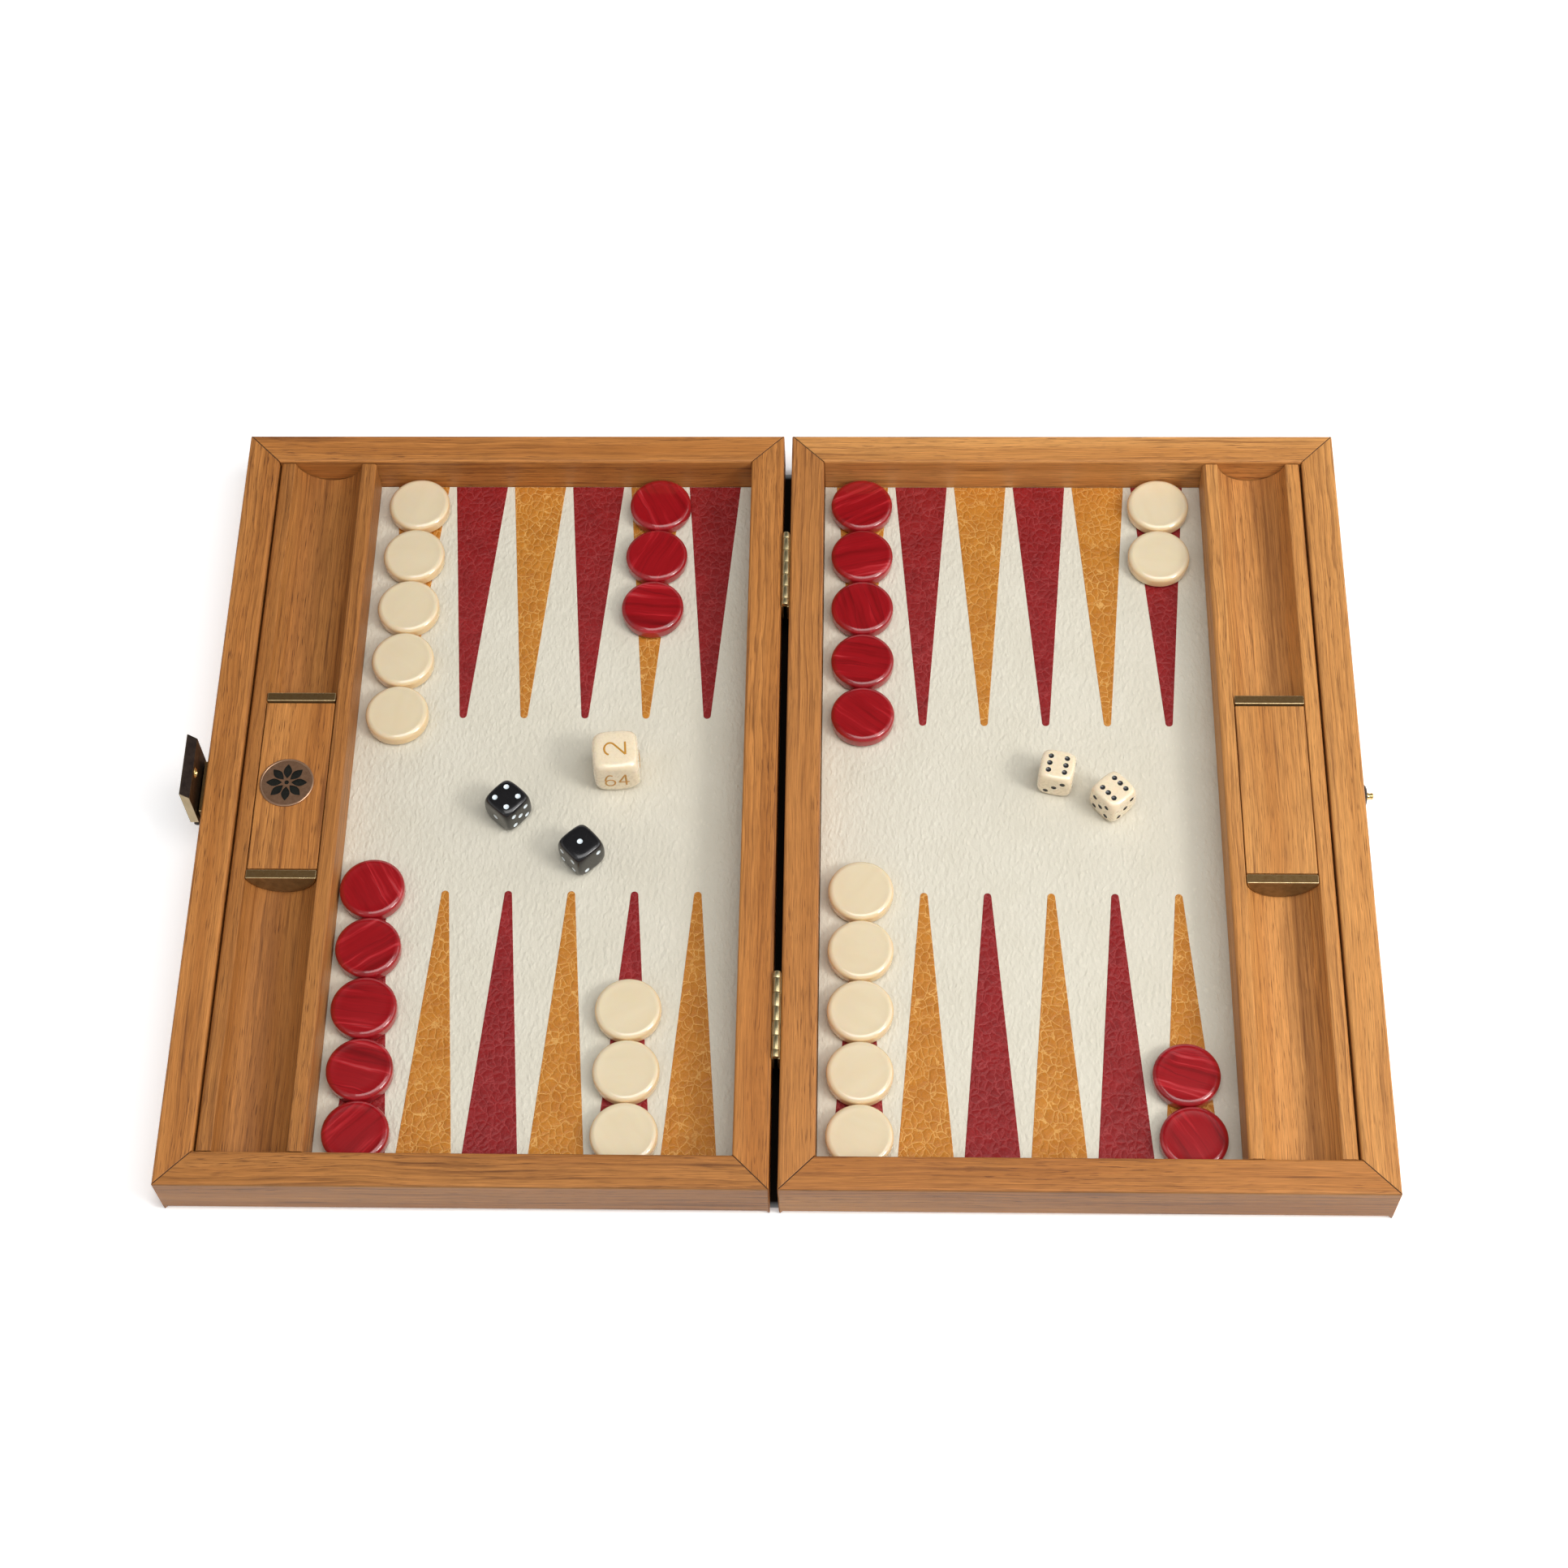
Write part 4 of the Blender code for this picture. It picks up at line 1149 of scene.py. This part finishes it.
def make_leaf(side, sign, place):
    node = f"{side}_{place}_hinge_leaf"
    low, high = box_of(node)
    pin_z = high.z - KNUCKLE_RADIUS
    unit = (high.y - low.y) / sum(KNUCKLE_SHARES)
    wall = sign * max(abs(low.x), abs(high.x))
    parts = []
    y = low.y
    for number, share in enumerate(KNUCKLE_SHARES):
        if (number % 2 == 0) == (sign < 0):
            first, last = y + KNUCKLE_GAP / 2, y + share * unit - KNUCKLE_GAP / 2
            parts.append(barrel("knuckle", first, last, KNUCKLE_RADIUS, PALE_BRASS, place=(0, 0, pin_z)))
            inner, foot, top = KNUCKLE_WEB
            web = block((inner * sign, first, pin_z - foot), (wall, last, pin_z - top))
            parts.append(object_from(web, "web", PALE_BRASS))
        y += share * unit
    leaf = block((wall - sign * LEAF_THICKNESS, low.y, low.z), (wall, high.y, pin_z - LEAF_DROP))
    parts.append(settle(ease(object_from(leaf, "leaf", PALE_BRASS), LEAF_EASE, 2)))
    if sign < 0:
        for end, out in ((low.y, -1), (high.y, 1)):
            head = turned("pin_head", PIN_HEAD, 20, PALE_BRASS)
            parts.append(move(head, (0, end, pin_z), Matrix.Rotation(-out * math.pi / 2, 4, "X")))
    made = gather(finished_name(node), parts)
    return hand_over(made, side + "_half", [node])


leaves = [make_leaf(side, sign, place) for side, sign in SIDES for place in ("back", "front")]
print("hinge leaves:", len(leaves), "of", [len(leaf.data.polygons) for leaf in leaves], "faces")

# %% [markdown]
# Latch
#
# On the left outer rail a small plate holds two eyes, and a solid brass flap turns on the pin
# through them. When the box is shut the flap's socket snaps over a stud on the other tray. The
# flap's top slopes down to the box, so that it rides over the stud. Its faces are dark, its ends
# are tan where they were sawn, and its edges are a little worn.

# %% Latch
FLAP_PIVOT = Vector((box_of("latch_flap")[1].x - 1.0, 0.0, RIM_HEIGHT - 8.5))
FLAP_HALF = 12.0
FLAP_INNER = 1.0
FLAP_SECTION = ((-2.1, 1.4), (FLAP_INNER, 1.4), (FLAP_INNER, 18.5), (-1.85, 21.6), (-2.1, 21.45))
SOCKET_HEIGHT = 15.4
SOCKET_RADIUS = 1.9
SOCKET_DEPTH = 2.2
EYE_RADIUS = 1.1
EYE_GAP = 0.15
FLAP_SPANS = ((-12.0, -7.5), (-3.5, 3.5), (7.5, 12.0))
BRACKET_SPANS = ((-7.5, -3.5), (3.5, 7.5))
WEB_GAP = 0.25
WEB_REACH = 11.9
PIN_REACH = 11.6
PIN_RADIUS = 0.5
PLATE_Z = (7.0, 19.0)
PLATE_HALF = 10.0
PLATE_THICKNESS = 1.2
SCREW_HEAD = ((0, 0.12), (0.75, 0.1), (1.0, -0.05), (0, -0.05))
SCREW_PLACES = ((-8.2, 9.0), (-8.2, 17.2), (8.2, 9.0), (8.2, 17.2))

FLAP_DARK = metal("flap_bronze", (0.030, 0.022, 0.020), (0.060, 0.044, 0.036), 0.42)
FLAP_EDGE = metal("flap_worn_edge", (0.085, 0.064, 0.046), (0.160, 0.120, 0.078), 0.36)
FLAP_TAN = metal("flap_tan_brass", (0.42, 0.34, 0.20), (0.56, 0.46, 0.29), 0.4, 300.0, (1, 1, 0.15))


def make_flap():
    bm = prism(FLAP_SECTION, -FLAP_HALF, FLAP_HALF)
    flap = object_from(bm, "flap_block", FLAP_DARK, FLAP_EDGE, FLAP_TAN, sharp_angle=20)
    for face in flap.data.polygons:
        if abs(face.normal.y) > 0.9:
            face.material_index = 2
    settle(ease(flap, 0.22, 3, material=1, angle=25))
    bore = [(0, 4), (SOCKET_RADIUS, 4), (SOCKET_RADIUS, -SOCKET_DEPTH), (0, -SOCKET_DEPTH)]
    carve(flap, move(turned("socket_bore", bore, 36, PATINA), (FLAP_INNER, 0, SOCKET_HEIGHT), ALONG_X))
    settle(flap)
    inner, outer, back = SOCKET_RADIUS - 0.6, SOCKET_RADIUS - 0.05, 0.1 - SOCKET_DEPTH
    lip = [(inner, 0.0), (SOCKET_RADIUS - 0.35, 0.30), (outer, 0.0)]
    lip += [(outer, back), (inner, back), (inner, 0.0)]
    ring = turned("socket_ring", lip, 36, GOLD_BRASS)
    parts = [flap, move(ring, (FLAP_INNER - 0.05, 0, SOCKET_HEIGHT), ALONG_X)]
    for low, high in FLAP_SPANS:
        parts.append(barrel("flap_eye", low + EYE_GAP, high - EYE_GAP, EYE_RADIUS, FLAP_DARK))
        low, high = max(low, -WEB_REACH) + WEB_GAP, min(high, WEB_REACH) - WEB_GAP
        parts.append(object_from(block((-0.9, low, 0.0), (0.8, high, 2.2)), "flap_web", FLAP_DARK))
    made = move(gather(finished_name("latch_flap"), parts), FLAP_PIVOT)
    return hand_over(made, "latch_flap", ["latch_flap"])


def make_bracket():
    wall_x = box_of("latch_bracket")[1].x
    face_x = wall_x - PLATE_THICKNESS
    plate = block((face_x, -PLATE_HALF, PLATE_Z[0]), (wall_x, PLATE_HALF, PLATE_Z[1]))
    plate = object_from(plate, "bracket_plate", ANTIQUE, RUBBED)
    parts = [settle(ease(plate, 0.25, 2, material=1))]
    for low, high in BRACKET_SPANS:
        parts.append(barrel("eye", low + EYE_GAP, high - EYE_GAP, EYE_RADIUS, ANTIQUE, place=FLAP_PIVOT))
        web_low = (FLAP_PIVOT.x, low + WEB_GAP, FLAP_PIVOT.z - 0.8)
        web_high = (wall_x - 0.9, high - WEB_GAP, FLAP_PIVOT.z + 0.8)
        parts.append(object_from(block(web_low, web_high), "bracket_web", ANTIQUE))
    parts.append(barrel("pin", -PIN_REACH, PIN_REACH, PIN_RADIUS, RUBBED, eased=0.15, place=FLAP_PIVOT))
    for y, z in SCREW_PLACES:
        head = turned("screw_head", SCREW_HEAD, 24, RUBBED)
        move(head, (face_x, y, z), Matrix.Rotation(-math.pi / 2, 4, "Y"))
        slot = block((face_x - 0.2, y - 0.12, z - 1.2), (face_x - 0.04, y + 0.12, z + 1.2))
        parts.append(carve(head, object_from(slot, "screw_slot", PATINA)))
    made = gather(finished_name("latch_bracket"), parts)
    return hand_over(made, "left_half", ["latch_bracket"])


def make_stud():
    low, high = box_of("latch_stud")
    radius = (high.z - low.z) / 2
    reach = high.x - low.x
    place = (low.x, 0, (low.z + high.z) / 2)
    flower = [(0, 1.1), (radius - 1.2, 1.1), (radius - 0.5, 0.9), (radius, 0.35), (radius, 0), (0, 0)]
    neck = [(0, reach), (0.85, reach), (1.15, reach - 0.25), (1.2, reach - 0.7), (1.0, reach - 1.2)]
    neck += [(1.35, 1.4), (1.5, 1.05), (0, 1.05)]
    rosette = turned("stud_rosette", flower, 48, FLAP_DARK)
    pin = turned("stud_pin", neck, 36, GOLD_BRASS, sharp_angle=60)
    made = gather(finished_name("latch_stud"), [move(part, place, ALONG_X) for part in (rosette, pin)])
    return hand_over(made, "right_half", ["latch_stud"])


latch = [make_flap(), make_bracket(), make_stud()]
print("latch:", {piece.name: len(piece.data.polygons) for piece in latch})

# %% [markdown]
# Checkers
#
# The thirty checkers are turned and polished, so they come from a short profile and a Screw. Both
# faces are almost flat and roll over a soft shoulder into the side. Each one was sawn from its
# sheet at another angle, so each gets its own turn and place in the swirl map. The rim attribute
# is 0 on the flat and 1 on the side, where the ivory is painted warmer and the crimson brighter,
# as painted glow of light through the thin edge.

# %% Checkers
CHECKER_RADIUS = 11.32
CHECKER_STEPS = 64
SHOULDER = 2.2
SHOULDER_DROP = 1.55
RIM_FADE = 1.3


def checker_profile(thickness):
    profile = [(0, thickness), (4.0, thickness - 0.02), (7.0, thickness - 0.06)]
    centre = CHECKER_RADIUS - SHOULDER
    arc = []
    for i in range(9):
        angle = math.pi / 2 * (1 - i / 8)
        arc.append((centre + SHOULDER * math.cos(angle), thickness - SHOULDER_DROP * (1 - math.sin(angle))))
    arc[0] = (centre, thickness - 0.11)
    lower = [(radius, thickness - height) for radius, height in reversed(arc)]
    return profile + arc + lower + [(0, 0)]


def map_swirl(mesh, chance):
    turn = Matrix.Rotation(chance.uniform(0, 2 * math.pi), 2)
    shift = Vector((chance.uniform(0, 2), chance.uniform(0, 2)))
    uv = mesh.uv_layers.new(name="swirl")
    rim = mesh.attributes.new("rim", "FLOAT", "POINT")
    for loop in mesh.loops:
        place = mesh.vertices[loop.vertex_index].co
        spread = Vector((place.x, place.y)) * (1 + 0.12 * place.z / (5 * MM))
        uv.data[loop.index].uv = turn @ spread + shift
    for vert in mesh.vertices:
        radius = math.hypot(vert.co.x, vert.co.y) / MM
        near_side = 1 - (CHECKER_RADIUS - radius) / RIM_FADE
        rim.data[vert.index].value = min(max(near_side, 0.0), 1.0) ** 1.5


def make_checker(node, material, seed):
    low, high = box_of(node)
    profile = checker_profile(high.z - low.z)
    checker = turned(finished_name(node), profile, CHECKER_STEPS, material, sharp_angle=60)
    map_swirl(checker.data, random.Random(seed))
    middle = (low + high) / 2
    return hand_over(move(checker, (middle.x, middle.y, low.z)), node, [node])


checkers = []
for colour, material in (("ivory", IVORY), ("crimson", CRIMSON)):
    for number in range(1, 16):
        node = f"{colour}_checker_{number:02d}"
        checkers.append(make_checker(node, material, 500 + len(checkers) * 7))
print("checkers:", len(checkers), "of", len(checkers[0].data.polygons), "faces each")

# %% [markdown]
# Dice
#
# A die is a cube that was tumbled until its corners were round, and its pips are shallow dimples.
# The pips of all six faces are gathered into one helper, and one Boolean cuts them. The dimples
# keep the helper's paint. Opposite faces add up to seven.

# %% Dice
DIE_SIZE = 12.4
CUBE_DIVISIONS = 30
EDGE_HARDNESS = 10.0
CORNER_BALL = 0.728
CORNER_BLEND = 14.0
PIP_RADIUS = 1.0
PIP_PITCH = 2.87
PIP_SINK = 0.45
PIP_PLACES = {
    1: [(0, 0)],
    2: [(-1, -1), (1, 1)],
    3: [(-1, -1), (0, 0), (1, 1)],
    4: [(-1, -1), (-1, 1), (1, -1), (1, 1)],
    5: [(-1, -1), (-1, 1), (0, 0), (1, -1), (1, 1)],
    6: [(-1, -1), (-1, 0), (-1, 1), (1, -1), (1, 0), (1, 1)],
}
UPRIGHT = Matrix.Rotation(math.pi / 2, 4, "X")
FACE_TURNS = {
    "top": Matrix.Identity(4),
    "bottom": Matrix.Rotation(math.pi, 4, "X"),
    "front": UPRIGHT,
    "back": Matrix.Rotation(math.pi, 4, "Z") @ UPRIGHT,
    "left": Matrix.Rotation(-math.pi / 2, 4, "Z") @ UPRIGHT,
    "right": Matrix.Rotation(math.pi / 2, 4, "Z") @ UPRIGHT,
}
# Each die's turn on the table, and its numbers in the order of the faces above.
DICE = {
    "ivory_die_1": (-12, (6, 1, 3, 4, 5, 2)),
    "ivory_die_2": (41.5, (6, 1, 3, 4, 5, 2)),
    "black_die_1": (48.5, (4, 3, 5, 2, 1, 6)),
    "black_die_2": (43, (1, 6, 2, 5, 4, 3)),
}
DIE_PAINTS = {"ivory": (DIE_IVORY, PIP_BLACK), "black": (DIE_BLACK, PIP_WHITE)}


def tumbled_cube(name, size, material):
    """A cube whose edges are softened and whose corners are worn down to a ball, as by tumbling.

    Each point is moved along its own direction, to where a soft-edged cube and the ball meet.
    """
    bm = bmesh.new()
    bmesh.ops.create_cube(bm, size=1.0)
    bmesh.ops.subdivide_edges(bm, edges=bm.edges, cuts=CUBE_DIVISIONS, use_grid_fill=True)
    for vert in bm.verts:
        spread = [math.copysign(math.sin(min(abs(c) * 2, 1) * math.pi / 2) ** 1.15, c) for c in vert.co]
        way = Vector(spread).normalized()
        cube_reach = size / 2 / sum(abs(c) ** EDGE_HARDNESS for c in way) ** (1 / EDGE_HARDNESS)
        ball_reach = CORNER_BALL * size
        reach = (cube_reach**-CORNER_BLEND + ball_reach**-CORNER_BLEND) ** (-1 / CORNER_BLEND)
        vert.co = way * reach
    return object_from(bm, name, material, sharp_angle=60)


def pip_cutter(numbers, material):
    bm = bmesh.new()
    radius = (PIP_RADIUS**2 + PIP_SINK**2) / (2 * PIP_SINK)
    depth = DIE_SIZE / 2 + radius - PIP_SINK
    for turn, number in zip(FACE_TURNS.values(), numbers):
        for column, row in PIP_PLACES[number]:
            place = Matrix.Translation(turn @ Vector((column * PIP_PITCH, row * PIP_PITCH, depth)))
            bmesh.ops.create_icosphere(bm, subdivisions=4, radius=radius, matrix=place)
    return object_from(bm, "pip_cutter", material)


def seat(cube, node, size, turn):
    """Stands a cube, made about its own middle, in its plain node's place."""
    low, high = box_of(node)
    middle = (low + high) / 2
    move(cube, (middle.x, middle.y, low.z + size / 2), Matrix.Rotation(math.radians(turn), 4, "Z"))
    return hand_over(cube, node, [node])


dice = []
for node, (turn, numbers) in DICE.items():
    colour = node.split("_")[0]
    material, paint = DIE_PAINTS[colour]
    die = tumbled_cube(finished_name(node), DIE_SIZE, material)
    carve(die, pip_cutter(numbers, paint), sharp_angle=30)
    dice.append(seat(die, node, DIE_SIZE, turn))
print("dice:", {die.name: len(die.data.polygons) for die in dice})

# %% [markdown]
# Doubling cube
#
# The larger cube counts the stakes: 2, 4, 8, 16, 32 and 64, in thin ochre strokes. Each stroke is
# drawn as a line down its middle, a curve with a round bevel gives it its width, and squashing it
# leaves a film of paint that stands a hair above the face.

# %% Doubling cube
CUBE_SIZE = 16.4
CUBE_TURN = 5.0
STROKE_RADIUS = 0.35
PAINT_HEIGHT = 0.05
SINGLE_DIGIT = (7.4, 1.15)
DOUBLE_DIGIT = (7.0, 0.80)
DIGIT_PITCH = 4.9
NUMERALS = {
    "top": ("2", 90),
    "front": ("64", 0),
    "right": ("8", 0),
    "left": ("16", 90),
    "back": ("4", 0),
    "bottom": ("32", 0),
}


def bow(x, y, across, up, start, end, steps=16):
    """Points of an oval arc, in degrees."""
    angles = [math.radians(start + (end - start) * i / steps) for i in range(steps + 1)]
    return [(x + across * math.cos(angle), y + up * math.sin(angle)) for angle in angles]


DIGIT_STROKES = {
    "1": [[(-0.18, 0.30), (0.04, 0.50), (0.04, -0.50)]],
    "2": [bow(0, 0.22, 0.28, 0.28, 165, -38) + [(-0.30, -0.50)], [(-0.30, -0.50), (0.30, -0.50)]],
    "3": [bow(-0.02, 0.25, 0.25, 0.25, 150, -90), bow(-0.02, -0.24, 0.28, 0.26, 90, -150)],
    "4": [[(0.12, 0.50), (-0.32, -0.20)], [(-0.32, -0.20), (0.33, -0.20)], [(0.12, 0.50), (0.12, -0.50)]],
    "6": [bow(0.02, -0.10, 0.32, 0.60, 62, 172), bow(0, -0.22, 0.30, 0.28, 0, 360, 28)],
    "8": [bow(0, 0.27, 0.22, 0.23, 0, 360, 24), bow(0, -0.23, 0.28, 0.27, 0, 360, 28)],
}


def numeral(text, turn, face):
    height, width = SINGLE_DIGIT if len(text) == 1 else DOUBLE_DIGIT
    curve = bpy.data.curves.new("numeral", "CURVE")
    curve.dimensions = "3D"
    curve.bevel_depth = STROKE_RADIUS * MM
    curve.bevel_resolution = 2
    curve.use_fill_caps = True
    for place, digit in enumerate(text):
        start = (place - (len(text) - 1) / 2) * DIGIT_PITCH
        for stroke in DIGIT_STROKES[digit]:
            spline = curve.splines.new("POLY")
            spline.points.add(len(stroke) - 1)
            for point, (x, y) in zip(spline.points, stroke):
                point.co = ((start + x * width * height) * MM, y * height * MM, 0, 1)
    drawn = put_in_scene("numeral", curve)
    bpy.context.view_layer.update()
    graph = bpy.context.evaluated_depsgraph_get()
    mesh = bpy.data.meshes.new_from_object(drawn.evaluated_get(graph))
    bpy.data.objects.remove(drawn)
    bpy.data.curves.remove(curve)
    squash = Matrix.Diagonal((1, 1, PAINT_HEIGHT / STROKE_RADIUS, 1))
    lift = Matrix.Translation((0, 0, CUBE_SIZE / 2 * MM))
    mesh.transform(FACE_TURNS[face] @ Matrix.Rotation(math.radians(turn), 4, "Z") @ lift @ squash)
    mesh.materials.clear()
    mesh.materials.append(OCHRE)
    return put_in_scene("numeral", mesh)


parts = [tumbled_cube("tumbled_cube", CUBE_SIZE, DIE_IVORY)]
parts += [numeral(text, turn, face) for face, (text, turn) in NUMERALS.items()]
cube = gather(finished_name("doubling_cube"), parts)
seat(cube, "doubling_cube", CUBE_SIZE, CUBE_TURN)
print("doubling cube:", len(cube.data.polygons), "faces")

# %% [markdown]
# Measuring the set
#
# Last, the finished set's box is measured and kept beside the plain model's. The two should agree,
# because every piece was placed by the frame.

# %% Measure and finish
visual_box = [list(corner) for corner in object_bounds()]
for label, (low, high) in (("plain", cad_box), ("finished", visual_box)):
    print(label, "box:", [round((b - a) / MM, 1) for a, b in zip(low, high)], "mm")
